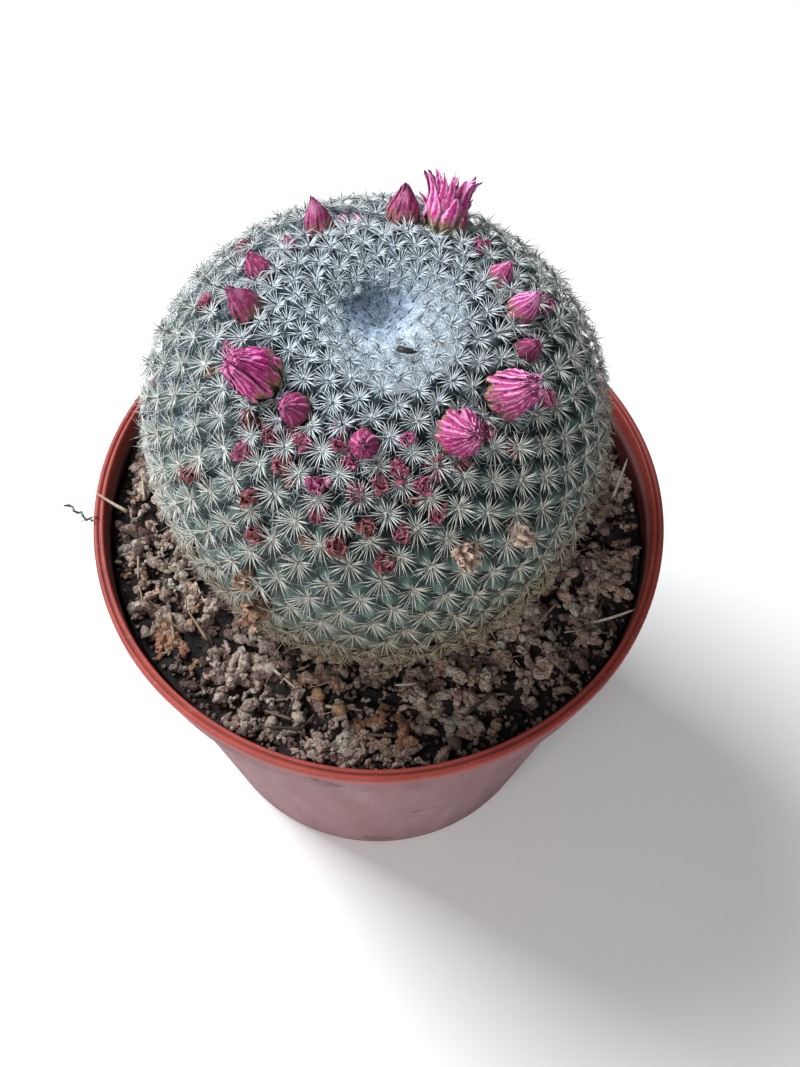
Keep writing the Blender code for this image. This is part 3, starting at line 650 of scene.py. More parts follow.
def build_straws():
    """Root ends, twigs and straw that lie in the crust, some with an end in the air."""
    draw = random.Random(31)
    rows = []
    for _ in range(STRAWS):
        x, y, _ = soil_spot(draw, 32 * MM, SOIL_EDGE - 2 * MM)
        length = draw.uniform(2.0, 6.5) * MM
        heading = draw.uniform(0, TURN)
        for _ in range(8):
            tip = (x + length * math.cos(heading), y + length * math.sin(heading))
            if 32 * MM < math.hypot(*tip) < SOIL_EDGE - 0.8 * MM:
                break
            heading += 0.8
        else:
            continue
        root = (x, y, soil_height(x, y) + draw.uniform(0.3, 1.3) * MM)
        way = (math.cos(heading), math.sin(heading), draw.uniform(-0.02, 0.28))
        curl = draw.uniform(-0.45, 0.45) * length
        bend = (-math.sin(heading) * curl, math.cos(heading) * curl, -0.08 * length)
        rows.append((root, way, bend, length, draw.choice((0.09, 0.12, 0.16, 0.30)) * MM))
    for _ in range(TWIGS):
        angle = draw.uniform(2.6, 6.6)
        far = draw.uniform(38, 52)
        heading = angle + draw.choice((-1, 1)) * draw.uniform(1.1, 1.9)
        length = draw.uniform(4, 9) * MM
        x, y = far * MM * math.cos(angle), far * MM * math.sin(angle)
        end = math.hypot(x + length * math.cos(heading), y + length * math.sin(heading))
        if end > SOIL_EDGE - 1.5 * MM:
            continue
        root = (x, y, soil_height(x, y) + draw.uniform(0.9, 1.6) * MM)
        way = (math.cos(heading), math.sin(heading), draw.uniform(-0.05, 0.2))
        rows.append((root, way, (0, 0, -0.05 * length), length, draw.uniform(0.26, 0.48) * MM))
    tones = [draw.random() ** 1.5 * 0.85 for _ in rows]
    # A wound fibre hangs out over the lip at the left, with a short one and a twig across the lip,
    # and two pale sticks stand out of the soil on the right: root, way, bend, length, width, tone.
    lip = pot_top / MM
    k = np.arange(10)
    high = lip + 0.1 + 0.25 * k + 0.5 * np.cos(2.1 * k)
    wound = np.stack([-59.4 - 0.6 * k, 0.3 * k - 7.4 + 0.6 * np.sin(1.9 * k), high], axis=1)
    pairs = [(a, b - a) for a, b in zip(wound, wound[1:])]
    laid_on = [(a, way, (0, 0, 0), 1.45 * np.linalg.norm(way), 0.34, 1.3) for a, way in pairs]
    laid_on += [
        ((-58.6, -6.0, lip + 0.1), (-0.95, -0.25, 0.16), (0.2, -1.6, 0.8), 3.5, 0.20, 0.5),
        ((-52.6, -4.6, lip + 0.1), (-0.90, 0.42, 0.10), (0.3, 0.4, 0.3), 8.6, 0.44, 0.66),
    ]
    for x, y, way, length in ((51, 8, (0.28, 0.65, 0.55), 9), (45, -22, (0.75, 0.1, 0.28), 10)):
        foot = soil_height(x * MM, y * MM) / MM + 0.5
        laid_on.append(((x, y, foot), way, (0, 0.8, 0.4), length, 0.42, 0.95))
    for root, way, bend, length, width, tone in laid_on:
        rows.append((np.array(root) * MM, way, np.array(bend) * MM, length * MM, width * MM))
        tones.append(tone)
    straws = bristles("straw_and_roots", rows, 6, 6, 0.5, tone=tones)
    straws.data.materials.append(straw())
    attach(straws, "root")


build_soil_bed()
build_crust()
build_straws()


# ---------------------------------------------------------------------------
# The stem. One flattened blue-green globe, waxy, set with cone-shaped tubercles on spirals at the
# golden angle. They are pressed flat where a bloom has grown between them.
STEM_RADIUS = 41.4 * MM
STEM_MIDDLE = pot_top + 28.6 * MM
STEM_RISE = 34.8 * MM
STEM_DROP = 46 * MM
STEM_SQUARENESS = 2.28
CROWN_DIP = 3.4 * MM
CROWN_DIP_RADIUS = 9 * MM
TUBERCLE_DEPTH = 3.9 * MM
FULL_SPACING = 7.0 * MM
CROWN_SPACING = 1.4 * MM
SPACING_GROWTH = 26 * MM
GOLDEN_ANGLE = math.pi * (3 - math.sqrt(5))
FULLER = 2.6 * MM
# Each bloom: azimuth, arc, length, how far open, lean aside in degrees, petals, how pale its
# margins are and how light its petals are painted, how withered and how darkened by painted shade.
BLOOMS = (
    (10, 23.8, 7.9, 0.0, 15, 13, 0.85, 0.0),
    (31, 23.8, 5.9, 0.0, 0, 11, 0.75, 0.3),
    (66, 26.2, 12.0, 1.0, 25, 14, 0.80, 0.0),
    (83, 25.0, 8.8, 0.0, 5, 13, 0.35, 0.50),
    (102, 24.2, 4.2, 0.0, 0, 8, 0.40, 0.2),
    (118, 25.0, 8.2, 0.0, 0, 12, 0.35, 0.50),
    (133, 25.8, 4.0, 0.0, 0, 8, 0.60, 0.6),
    (152, 24.6, 6.3, 0.2, 0, 11, 0.50, 0.7),
    (175, 22.5, 8.0, 0.0, -20, 12, 0.25, 0.45),
    (215, 21.8, 11.2, 0.30, -35, 19, 0.60, 0.0),
    (234, 22.2, 7.0, 0.0, 0, 11, 0.40, 0.40),
    (266, 23.8, 7.0, 0.2, 0, 10, 0.55, 0.6),
    (302, 24.3, 9.7, 0.2, 10, 19, 0.70, 0.25),
    (327, 24.4, 10.6, 0.3, 30, 19, 0.85, 0.15),
    (353, 25.4, 5.5, 0.2, 0, 10, 0.45, 0.7),
)
BLOOM_LEAN = 0.035


def stem_meridian(samples=1600):
    """Radius, height and normal of the stem over its tubercle tips, by arc from the growing point."""
    upper = np.linspace(math.pi / 2, 0, samples)
    lower = np.linspace(0, math.pi / 2 * 0.8, samples)[1:]
    power = 2 / STEM_SQUARENESS
    radius = np.concatenate([np.cos(upper), np.cos(lower)]).clip(0) ** power * STEM_RADIUS
    height = np.concatenate([np.sin(upper) ** power * STEM_RISE, -(np.sin(lower) ** power) * STEM_DROP])
    height += STEM_MIDDLE - CROWN_DIP * np.exp(-((radius / CROWN_DIP_RADIUS) ** 2))
    above = height > SOIL_LEVEL + TUBERCLE_DEPTH * 0.6
    radius, height = radius[above], height[above]
    reach = np.concatenate([[0], np.cumsum(np.hypot(np.diff(radius), np.diff(height)))])
    slope = np.gradient(radius), np.gradient(height)
    length = np.hypot(*slope)
    return reach, radius, height, -slope[1] / length, slope[0] / length


REACH, RADIUS, HEIGHT, OUT, UP = stem_meridian()
STEM_END = float(REACH[-1])


def swept(angle, reach, outwards, upwards):
    """Two columns of the meridian, at an arc, swung round to an azimuth."""
    out, up = np.interp(reach, REACH, outwards), np.interp(reach, REACH, upwards)
    return np.stack([out * np.cos(angle), out * np.sin(angle), up + 0 * angle], axis=-1)


def stem_normals(angle, reach):
    made = swept(angle, reach, OUT, UP)
    return made / np.linalg.norm(made, axis=-1, keepdims=True)


def shoulder_at(angle, reach):
    """1 on the shoulder at the back and the left, where the stem is fuller and woollier, down to 0."""
    round_it = np.clip(0.55 + 0.6 * np.sin(angle - 0.6), 0, 1)
    return np.exp(-(((reach - 50 * MM) / (20 * MM)) ** 2)) * round_it


def stem_points(angle, reach, lift=0.0):
    lift = np.asarray(lift + FULLER * shoulder_at(angle, reach))[..., None]
    return swept(angle, reach, RADIUS, HEIGHT) + lift * stem_normals(angle, reach)


def depth_at(reach):
    """How deep the creases between the tubercles are."""
    grown = 1 - np.exp(-reach / (12 * MM))
    buried = np.minimum(1.0, (STEM_END - reach) / (10 * MM))
    return TUBERCLE_DEPTH * grown * (0.35 + 0.65 * buried)


def tubercles():
    """Azimuth and arc of every tubercle."""
    spacing = FULL_SPACING - (FULL_SPACING - CROWN_SPACING) * np.exp(-REACH / SPACING_GROWTH)
    dense = TURN * RADIUS / (0.9 * spacing**2)
    count = np.concatenate([[0], np.cumsum((dense[1:] + dense[:-1]) / 2 * np.diff(REACH))])
    k = np.arange(1, int(count[-1]))
    return (k * GOLDEN_ANGLE) % TURN, np.interp(k - 0.5, count, REACH)


def bloom_seat(number):
    """Foot, axis, length and radius of a bloom, read from its solid."""
    azimuth, arc, length, _, aside = BLOOMS[number - 1][:5]
    angle, reach = math.radians(azimuth), arc * MM
    lean = angle + math.radians(aside)
    axis = Vector(stem_normals(np.array(angle), reach))
    axis = (axis + BLOOM_LEAN * length * Vector((math.cos(lean), math.sin(lean), 0))).normalized()
    corners = [v.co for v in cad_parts[f"bloom_{number:02d}"].data.vertices]
    heights = [axis.dot(corner) for corner in corners]
    middle = sum(corners, Vector()) / len(corners)
    foot = middle - axis * (axis.dot(middle) - min(heights))
    flat = foot - axis * axis.dot(foot)
    radius = max((corner - axis * axis.dot(corner) - flat).length for corner in corners)
    return foot, axis, max(heights) - min(heights), radius


seats = [bloom_seat(number) for number in range(1, len(BLOOMS) + 1)]
tip_angle, tip_reach = tubercles()


def pressed(points):
    """How far each point is pressed down beside the blooms."""
    most = np.zeros(len(points))
    for (azimuth, arc, *_), (_, _, _, radius) in zip(BLOOMS, seats):
        place_on = stem_points(np.array(math.radians(azimuth)), arc * MM)
        near = np.linalg.norm(points - place_on, axis=1) / (radius + 0.2 * MM)
        most = np.maximum(most, np.exp(-(near**4)))
    return most * 0.6


def build_stem():
    sides, rows, crown, crown_rows = 330, 132, 12 * MM, 19
    reach = np.linspace(0.3 * MM, crown, crown_rows + 1)[:-1]
    reach = np.concatenate([reach, np.linspace(crown, STEM_END, rows - crown_rows)])
    around = np.arange(sides) * 2 * math.pi / sides
    angle, reach = (grid.ravel() for grid in np.meshgrid(around, reach))
    smooth_points = stem_points(angle, reach)
    tree = KDTree(len(tip_angle))
    for k, point in enumerate(stem_points(tip_angle, tip_reach)):
        tree.insert(point, k)
    tree.balance()
    near = np.array([[found[2] for found in tree.find_n(p, 3)] for p in smooth_points])
    # 0 on a tip, 1 on the crease half way to the next one, and deepest where three meet.
    crease = 2 * near[:, 0] / (near[:, 0] + near[:, 1])
    axil = near[:, 0] / near[:, 2]
    rise = 1 - 0.66 * crease**1.35 - 0.34 * axil**2.5
    deep = 1.2 - 0.7 * shoulder_at(angle, reach)
    lift = -deep * depth_at(reach) * (1 - rise * (1 - pressed(smooth_points) / deep))
    grain = np.array([noise.noise(Vector(p) * 420) for p in smooth_points])
    points = stem_points(angle, reach, lift + grain * 0.12 * MM)
    # The stem closes over the growing point, and below with a neck that goes into the soil.
    top, low = len(points), SOIL_LEVEL - 2.5 * MM
    crown_point = stem_points(np.array([0.0]), 0.0, -depth_at(0.0))
    points = np.concatenate([points, crown_point, ring(NECK_RADIUS, low, sides), [(0, 0, low)]])
    faces = quads(rows, sides)
    for i in range(sides):
        j = (i + 1) % sides
        faces.append((top, i, j))
        faces.append((top - sides + i, top + 1 + i, top + 1 + j, top - sides + j))
        faces.append((top + 1 + i, top + 1 + sides, top + 1 + j))
    rise, age = np.append(rise, np.zeros(sides + 2)), np.append(reach / STEM_END, np.ones(sides + 2))
    stem = new_mesh("stem_skin", points, faces, rise=rise, age=age)
    stem.data.materials.append(stem_skin())
    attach(stem, "root")
    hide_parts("stem")


def stem_skin():
    made, look = material("waxy_blue_green_skin", 0.55)
    rise, age = look.mask("rise"), look.mask("age")
    # The skin a fifth of the way down from the growing point is painted darker: painted shade between the
    # crowded stars of spines.
    young = ((0.0, (0.060, 0.115, 0.145)), (0.20, (0.028, 0.070, 0.082)), (0.42, (0.074, 0.146, 0.132)))
    old = ((0.62, (0.112, 0.200, 0.162)), (0.78, (0.100, 0.130, 0.085)), (0.90, (0.120, 0.092, 0.056)))
    face = look.tint(look.ramp(age, *young, *old), look.ramp(look.grains(300, 5), (0.3, 0.72), (0.7, 1.22)))
    # The creases between the tubercles are painted dark: painted shade.
    shade = ((0.0, (0.018, 0.040, 0.052)), (0.3, (0.008, 0.022, 0.026)), (1.0, (0.010, 0.016, 0.012)))
    colour = look.mix(look.ramp(rise, (0.36, 0.0), (0.64, 0.42), (0.92, 1.0)), look.ramp(age, *shade), face)
    bloom = look.times(look.ramp(look.grains(900), (0.45, 0.0), (0.75, 0.35)), rise)
    colour = look.mix(bloom, colour, (0.25, 0.33, 0.32))
    colour = look.mix(look.ramp(rise, (0.86, 0.0), (0.97, 0.7)), colour, (0.30, 0.24, 0.20))
    dust = look.times(look.splashed(420, 0.36), look.ramp(age, (0.54, 0.0), (0.80, 1.0)))
    look.shade(look.mix(dust, colour, (0.20, 0.15, 0.11)), look.grains(2400, 2), 0.10 * MM, 0.7)
    return made


build_stem()


# ---------------------------------------------------------------------------
# The spines. Each areole, a small felted pad on a tubercle's tip, bears a star of fine glassy
# white radials and one or two short dark centrals. They yellow and break with age, low down.
RADIALS, HAIRS = 25, 12
LOWER_ROWS = 48 * MM
# Width of a shut bloom, as shares of its radius, along shares of its length.
SHUT_FORM = (0.0, 0.12, 0.30, 0.42, 0.60, 0.78, 0.90, 1.0), (0.46, 0.76, 0.98, 1.0, 0.84, 0.50, 0.22, 0.03)
dice = np.random.default_rng(11)


def pale_spines():
    made, look = material("glassy_pale_spines", 0.45)
    along, age = look.mask("along"), look.mask("age")
    young = look.mix(along, (0.68, 0.77, 0.84), (0.80, 0.89, 0.95))
    grown = look.mix(along, (0.68, 0.69, 0.63), (0.88, 0.88, 0.81))
    old = look.mix(along, (0.30, 0.24, 0.16), (0.50, 0.43, 0.31))
    colour = look.mix(look.ramp(age, (0.17, 0.0), (0.42, 1.0)), young, grown)
    # Low down they turn old and brown: real ageing, started early enough to paint the shade under the
    # stem's bulge too.
    colour = look.mix(look.ramp(age, (0.55, 0.0), (0.80, 1.0)), colour, old)
    look.shade(look.tint(colour, look.ramp(look.mask("tone"), (0.0, 0.62), (1.0, 1.06))))
    return made


def dark_spines():
    made, look = material("dark_central_spines", 0.4)
    along = look.mask("along")
    young = look.mix(along, (0.060, 0.055, 0.070), (0.014, 0.014, 0.024))
    old = look.mix(along, (0.30, 0.22, 0.15), (0.10, 0.06, 0.045))
    look.shade(look.mix(look.ramp(look.mask("age"), (0.30, 0.0), (0.7, 1.0)), young, old))
    return made


def tangents(angle, normal):
    """Two directions on the surface: round the stem, and down it."""
    side = np.stack([-np.sin(angle), np.cos(angle), 0 * angle], axis=-1)
    return side, np.cross(side, normal)


def near_bloom(points, room):
    """Which points lie within a bloom or too close beside it."""
    within = np.zeros(len(points), bool)
    for foot, axis, length, radius in seats:
        rel = points - np.array(foot)
        height = rel @ np.array(axis)
        aside = np.linalg.norm(rel - height[:, None] * np.array(axis), axis=1)
        width = radius * np.interp(height / length, *SHUT_FORM)
        within |= (height > -0.5 * MM) & (height < length) & (aside < width + room)
    return within


def lattice_tips():
    """Azimuth and arc, tip and normal of the areoles, with those pushed up close to the blooms."""
    sunk = depth_at(tip_reach) * pressed(stem_points(tip_angle, tip_reach))
    points = stem_points(tip_angle, tip_reach, -sunk)
    keep = ~near_bloom(points, -0.2 * MM)
    points, angles, reaches = list(points[keep]), list(tip_angle[keep]), list(tip_reach[keep])
    for (azimuth, arc, *_), (_, _, _, radius) in zip(BLOOMS, seats):
        away = 0.84 * radius + 0.9 * MM
        around = int(TURN * away / (2.6 * MM))
        for k in range(around):
            phi = TURN * k / around
            reach = arc * MM + away * math.sin(phi)
            angle = math.radians(azimuth) + away * math.cos(phi) / float(np.interp(reach, REACH, RADIUS))
            point = stem_points(np.array(angle), reach, -0.5 * depth_at(reach))
            if min(np.linalg.norm(np.array(points) - point, axis=1)) > 2.4 * MM:
                points.append(point)
                angles.append(angle)
                reaches.append(reach)
    angles, reaches = np.array(angles), np.array(reaches)
    return angles, reaches, np.array(points), stem_normals(angles, reaches)


areole_angles, areole_reach, areole_points, areole_normals = lattice_tips()


def areoles(least):
    """Each areole beyond an arc: its arc, azimuth, tip and normal, and the ways round and down the stem."""
    ways = tangents(areole_angles, areole_normals)
    rows = zip(areole_reach, areole_angles, areole_points, areole_normals, *ways)
    return [row for row in rows if row[0] >= least]


def splayed(phi, tilt, normal, side, down):
    """The way of a spine on a star: flat on the surface, and as it stands."""
    flat = side * math.cos(phi) + down * math.sin(phi)
    return flat, flat * math.cos(tilt) + normal * math.sin(tilt)


def star_of_spines(draw):
    """Root, way, bend, length, width and arc of every radial spine."""
    rows = []
    for reach, angle, tip, normal, side, down in areoles(6.5 * MM):
        young = math.exp(-reach / (9 * MM))
        full = (2.05 + 2.15 * (1 - math.exp(-reach / (30 * MM)))) * MM
        shoulder = float(shoulder_at(angle, reach))
        turn = draw.uniform(0, TURN)
        fine = 1 - 0.5 * math.exp(-(((reach - 6 * MM) / (5 * MM)) ** 2))
        for j in range(RADIALS):
            phi = turn + TURN * (j + draw.uniform(-0.3, 0.3)) / RADIALS
            tilt = math.radians(draw.gauss(27 - 13 * shoulder, 10) + 34 * young)
            flat, way = splayed(phi, tilt, normal, side, down)
            length = full * draw.uniform(0.76, 1.14) * (1 + 0.12 * math.sin(phi))
            bend = -normal * length * draw.uniform(0.02, 0.18) + flat * length * 0.02
            root = tip + flat * 0.26 * MM + normal * 0.25 * MM
            rows.append((root, way, bend, length, fine * draw.uniform(0.135, 0.180) * MM, reach))
    return rows


def central_spines(draw):
    """Short and dark, one or two to an areole: in the crown they point straight away from its middle."""
    rows = []
    for reach, angle, tip, normal, side, down in areoles(1.5 * MM):
        grown = 1 - math.exp(-reach / (16 * MM))
        wanted = 1 if reach < 22 * MM or draw.random() < 0.55 else draw.choice((0, 2))
        for j in range(wanted):
            sway = side * draw.uniform(-0.25, 0.25) + down * (draw.uniform(0.3, 0.9) if j == 0 else -0.5)
            way = normal * (0.55 + 0.45 * grown) + sway
            behind = max(0.0, math.sin(angle)) * math.exp(-((reach / (11 * MM)) ** 2))
            length = (1.9 + 1.3 * grown) * (1 - 0.5 * behind) * draw.uniform(0.8, 1.15) * MM
            root = tip + normal * (0.3 + 0.9 * (1 - grown)) * MM
            width = (0.145 + 0.06 * (1 - grown)) * MM
            rows.append((root, way / np.linalg.norm(way), down * 0.2 * MM, length, width, reach))
    return rows


def areole_hairs(draw):
    """Short white felt hairs that fill the middle of each star."""
    rows = []
    for reach, _, tip, normal, side, down in areoles(7.5 * MM):
        for j in range(HAIRS):
            phi = TURN * (j + draw.random()) / HAIRS
            _, way = splayed(phi, math.radians(draw.uniform(12, 65)), normal, side, down)
            root = tip + normal * 0.35 * MM
            length, width = draw.uniform(0.8, 1.6) * MM, draw.uniform(0.12, 0.18) * MM
            rows.append((root, way, 0 * way, length, width, reach))
    return rows


def build_spines(name, rows, finish, rings=2):
    """One mesh of spines, each with its own tone."""
    roots, ways, bends, lengths = (np.array(column) for column in [*zip(*rows)][:4])
    tips = roots + ways * lengths[:, None] + bends
    keep = ~near_bloom(tips, -0.1 * MM) & ~near_bloom(roots, 0) & (tips[:, 2] > SOIL_LEVEL - 1.0 * MM)
    rows = [rows[k] for k in np.flatnonzero(keep)]
    reach = np.array([row[5] for row in rows])
    angle = np.arctan2(roots[keep, 1], roots[keep, 0])
    # Duller on the shoulder and at the left, and painted older and browner further up on the right: painted
    # shade.
    duller = 1 - 0.75 * shoulder_at(angle, reach)
    duller *= 1 - 0.5 * np.clip(np.cos(angle - 3.4), 0, 1) * (reach > 30 * MM)
    painted_shade_right = 1 + 0.22 * np.clip(np.cos(angle + 0.25), 0, 1) ** 1.5
    masks = {"tone": dice.random(len(rows)) * duller, "age": reach / STEM_END * painted_shade_right}
    spines = bristles(name, rows, rings, shaded=True, **masks)
    spines.data.materials.append(finish)
    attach(spines, "root")


def build_areoles():
    """The felted pads that the spines stand in."""
    draw = random.Random(17)
    shapes = [crumb_shape(draw, 1) for _ in range(6)]
    spots = [tip + 0.10 * MM * normal for reach, _, tip, normal, _, _ in areoles(7.5 * MM)]
    reaches = [row[0] for row in areoles(7.5 * MM)]
    sizes = [0.60 * MM * (0.6 + 0.4 * min(1, r / (30 * MM))) for r in reaches]
    tones = [min(1.0, max(0.0, r / STEM_END + draw.uniform(-0.08, 0.12))) for r in reaches]
    pads = scatter("areole_pads", shapes, zip(spots, sizes, tones, [spin(draw) for _ in spots]))
    made, look = material("areole_felt", 0.95)
    felt = ((0.36, (0.68, 0.76, 0.82)), (0.62, (0.62, 0.60, 0.54)), (0.84, (0.34, 0.25, 0.18)))
    look.shade(look.ramp(look.mask("tone"), *felt), look.grains(5200), 0.15 * MM)
    pads.data.materials.append(made)
    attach(pads, "root")


pale_finish, dark_finish = pale_spines(), dark_spines()
radials = star_of_spines(random.Random(3))
build_spines("upper_radial_spines", [row for row in radials if row[5] < LOWER_ROWS], pale_finish)
build_spines("lower_radial_spines", [row for row in radials if row[5] >= LOWER_ROWS], pale_finish)
build_spines("central_spines", central_spines(random.Random(4)), dark_finish)
build_spines("areole_hairs", areole_hairs(random.Random(6)), pale_finish, rings=1)
build_areoles()


# ---------------------------------------------------------------------------
# The wool. At the growing point the newest spines and their felt close into a white cushion that
# fills the dip. Lower down, fine white hairs fill the axils where the blooms grew.
WOOL_MIDDLE = np.array([4.4 * MM, -3.0 * MM])
# The wool is painted darker and bluer over the very middle of the dip, painted shade, and whitest just in
# front of it, a painted pool of light.
WOOL_SHADE = np.array([-1.2 * MM, 3.0 * MM])
WOOL_PAINTED_LIGHT = np.array([7 * MM, -4.5 * MM])
FELT_HAIRS, AXIL_HAIRS = 30000, 11500


def wool():
    made, look = material("white_plant_wool", 0.85)
    # The dark blue end of the ramp is the painted shade in the dip.
    white = ((0.0, (0.10, 0.155, 0.235)), (0.45, (0.50, 0.61, 0.74)), (1.0, (0.90, 0.96, 1.0)))
    look.shade(look.ramp(look.mask("tone"), *white))
    return made


def wool_tone(spots):
    """How white the wool is painted at each place: painted shade in the dip, painted light in front of it.
    """
    aside = np.linalg.norm(spots[:, :2] - WOOL_SHADE, axis=1) / (6.6 * MM)
    painted_light = np.linalg.norm(spots[:, :2] - WOOL_PAINTED_LIGHT, axis=1) / (8.5 * MM)
    return (0.78 + 0.22 * np.exp(-(painted_light**2))) * (1 - 0.92 * np.exp(-(aside**2.4)))


def build_crown_cushion(finish):
    """The felt's close under-layer."""
    rings, sides = 36, 110
    points = []
    for r in range(rings):
        reach = 15.5 * MM * (r + 0.4) / (rings - 0.6)
        for i in range(sides):
            angle = np.array(TURN * i / sides)
            spot = stem_points(angle, reach)
            soft = noise.fractal(Vector(spot) * 700, 0.6, 2.0, 4)
            aside = float(np.linalg.norm(spot[:2] - WOOL_MIDDLE))
            fall = min(3.5 * MM, 2.2 * MM * max(0.0, (aside - 8.5 * MM) / (4 * MM)) ** 2)
            points.append(stem_points(angle, reach, -0.15 * MM + 0.10 * soft * MM - fall))
    low = len(points)
    points += [stem_points(np.array(TURN * i / sides), 11 * MM, -5.5 * MM) for i in range(sides)]
    faces = quads(rings + 1, sides) + [tuple(range(sides)), tuple(reversed(range(low, low + sides)))]
    cushion = new_mesh("crown_cushion", points, faces, tone=wool_tone(np.array(points)) * 0.8)
    cushion.data.materials.append(finish)
    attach(cushion, "root")
    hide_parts("crown_wool")


def build_crown_felt(finish):
    """Short fine hairs that lie every way over the cushion."""
    draw = random.Random(8)
    rows = []
    for k in range(FELT_HAIRS):
        reach = 14.5 * MM * math.sqrt((k + 0.5) / FELT_HAIRS)
        angle = np.array(k * GOLDEN_ANGLE)
        normal = stem_normals(angle, reach)
        side, down = tangents(angle, normal)
        root = stem_points(angle, reach, -0.1 * MM - 0.3 * MM * draw.random())
        if np.linalg.norm(root[:2] - WOOL_MIDDLE) > draw.uniform(8.5, 14.5) * MM:
            continue
        way = normal * draw.uniform(0.15, 0.6) + side * draw.gauss(0, 0.8) + down * draw.gauss(0.2, 0.8)
        length = draw.uniform(0.8, 1.9) * (1 + 0.35 * (reach > 8 * MM)) * MM
        rows.append((root, way, -normal * 0.3 * MM, length, draw.uniform(0.030, 0.044) * MM))
    tones = wool_tone(np.array([row[0] for row in rows])) * (0.84 + 0.16 * dice.random(len(rows)))
    felt = bristles("crown_felt", rows, rings=1, tone=tones)
    felt.data.materials.append(finish)
    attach(felt, "root")


def build_axil_wool(finish):
    """Loose hairs between the tubercles, thickest just below the blooms and on the left shoulder."""
    draw = random.Random(12)
    rows = []
    for _ in range(AXIL_HAIRS):
        reach = draw.uniform(15, 66) * MM
        angle = np.array(draw.uniform(0, TURN))
        spread = math.exp(-(((reach - 33 * MM) / (11 * MM)) ** 2))
        shoulder = float(shoulder_at(angle, reach))
        if draw.random() > 0.10 + 0.34 * spread + 0.30 * spread * math.cos(angle - 4.1) + 0.65 * shoulder:
            continue
        normal = stem_normals(angle, reach)
        side, down = tangents(angle, normal)
        root = stem_points(angle, reach, -depth_at(reach) * draw.uniform(0.1, 0.6) * (1 - 0.75 * shoulder))
        way = normal * draw.uniform(0.1, 0.8 + 1.4 * shoulder)
        way += side * draw.gauss(0, 0.8) + down * draw.gauss(0, 0.8)
        length = draw.uniform(1.6, 4.6) * MM
        bend = (side * draw.gauss(0, 0.5) + down * draw.gauss(0, 0.5) - normal * 0.25) * length * 0.6
        rows.append((root, way, bend, length, (0.044 + 0.022 * shoulder) * MM))
    keep = ~near_bloom(np.array([row[0] for row in rows]), 0)
    rows = [rows[k] for k in np.flatnonzero(keep)]
    hairs = bristles("axil_wool", rows, rings=2, tone=0.5 + 0.5 * dice.random(len(rows)))
    hairs.data.materials.append(finish)
    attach(hairs, "root")


def build_fallen_husk():
    """A dark seed husk that has fallen on the wool, in front of the dip."""
    shape, sides = crumb_shape(random.Random(2), 3)
    stretched = shape * np.array([1.45, 0.50, 0.40]) * MM
    leaning = np.array(Matrix.Rotation(math.radians(-12), 3, "Z"))
    spot = stem_points(np.array(math.radians(296)), 10.2 * MM, 2.1 * MM)
    husk = new_mesh("fallen_husk", stretched @ leaning.T + spot, sides)
    made, look = material("dark_husk", 0.5)
    grain = look.grains(2600)
    brown = look.ramp(grain, (0.35, (0.002, 0.002, 0.003)), (0.7, (0.010, 0.009, 0.010)))
    look.shade(brown, grain, 0.1 * MM)
    husk.data.materials.append(made)
    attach(husk, "root")


wool_finish = wool()
build_crown_cushion(wool_finish)
build_crown_felt(wool_finish)
build_axil_wool(wool_finish)
build_fallen_husk()


# ---------------------------------------------------------------------------
# The blooms. Each grows from an axil: a short green-ochre tube, then narrow satin petals, magenta
# down the middle and pale at the margins, that overlap like tiles and close to a point.

# Width of an open bloom, as SHUT_FORM has it for a shut one.
OPEN_FORM = (0.0, 0.15, 0.35, 0.55, 0.75, 0.88, 1.0), (0.44, 0.70, 0.90, 0.97, 0.92, 0.94, 1.05)


def petal(length, radius, opened, turn, lean_in, wide, draw, crumple):
    """One petal as a strip wrapped round the bloom, with how far across and along it each point is."""
    rows, columns = 14, 5
    points, across, along = [], [], []
    flick = draw.uniform(-0.2, 1.0) * opened
    shift = draw.uniform(0, 40)
    lift = draw.uniform(-0.05, 0.06)
    for r in range(rows):
        share = r / (rows - 1)
        body = np.interp(share, *SHUT_FORM) * (1 - opened) + np.interp(share, *OPEN_FORM) * opened
        blade = 0.72 + 0.28 * share / 0.4 if share < 0.4 else 1 - ((share - 0.4) / 0.6) ** 2.2
        twist = 0.40 * share * (1 - 0.5 * opened)
        bent = 0.55 * noise.noise(Vector((share * 2.4, shift, 3)))
        for c in range(columns):
            side = 2 * c / (columns - 1) - 1
            wave = noise.noise(Vector((side * 1.2, share * 4.0, shift)))
            fold = crumple * noise.noise(Vector((side * 2.0, share * 7.0, shift + 9)))
            crinkle = noise.noise(Vector((side * 1.6, share * 13.0, shift + 21)))
            spread = radius * body * lean_in
            spread += radius * (0.10 * (1 - side * side) + 0.07 * side * min(1, share * 3) - 0.05 + lift)
            spread += radius * (0.14 * wave * share + 0.30 * fold + 0.11 * crinkle * min(1, share * 2.5))
            spread += radius * 0.34 * flick * max(0.0, share - 0.70) / 0.30
            spread = max(spread, 0.03 * radius)
            angle = turn + twist + side * wide * max(blade, 0.06) / max(body, 0.35) * 0.5
            angle += (0.20 * wave + 0.5 * bent) * share * (1 - 0.6 * share)
            height = length * (share * (0.97 + 0.06 * wave) - 0.02 * opened * side * side * share)
            points.append(Vector((spread * math.cos(angle), spread * math.sin(angle), height)))
            across.append(abs(side))
            along.append(share)
    return points, quads(rows, columns, closed=False, over=True), across, along


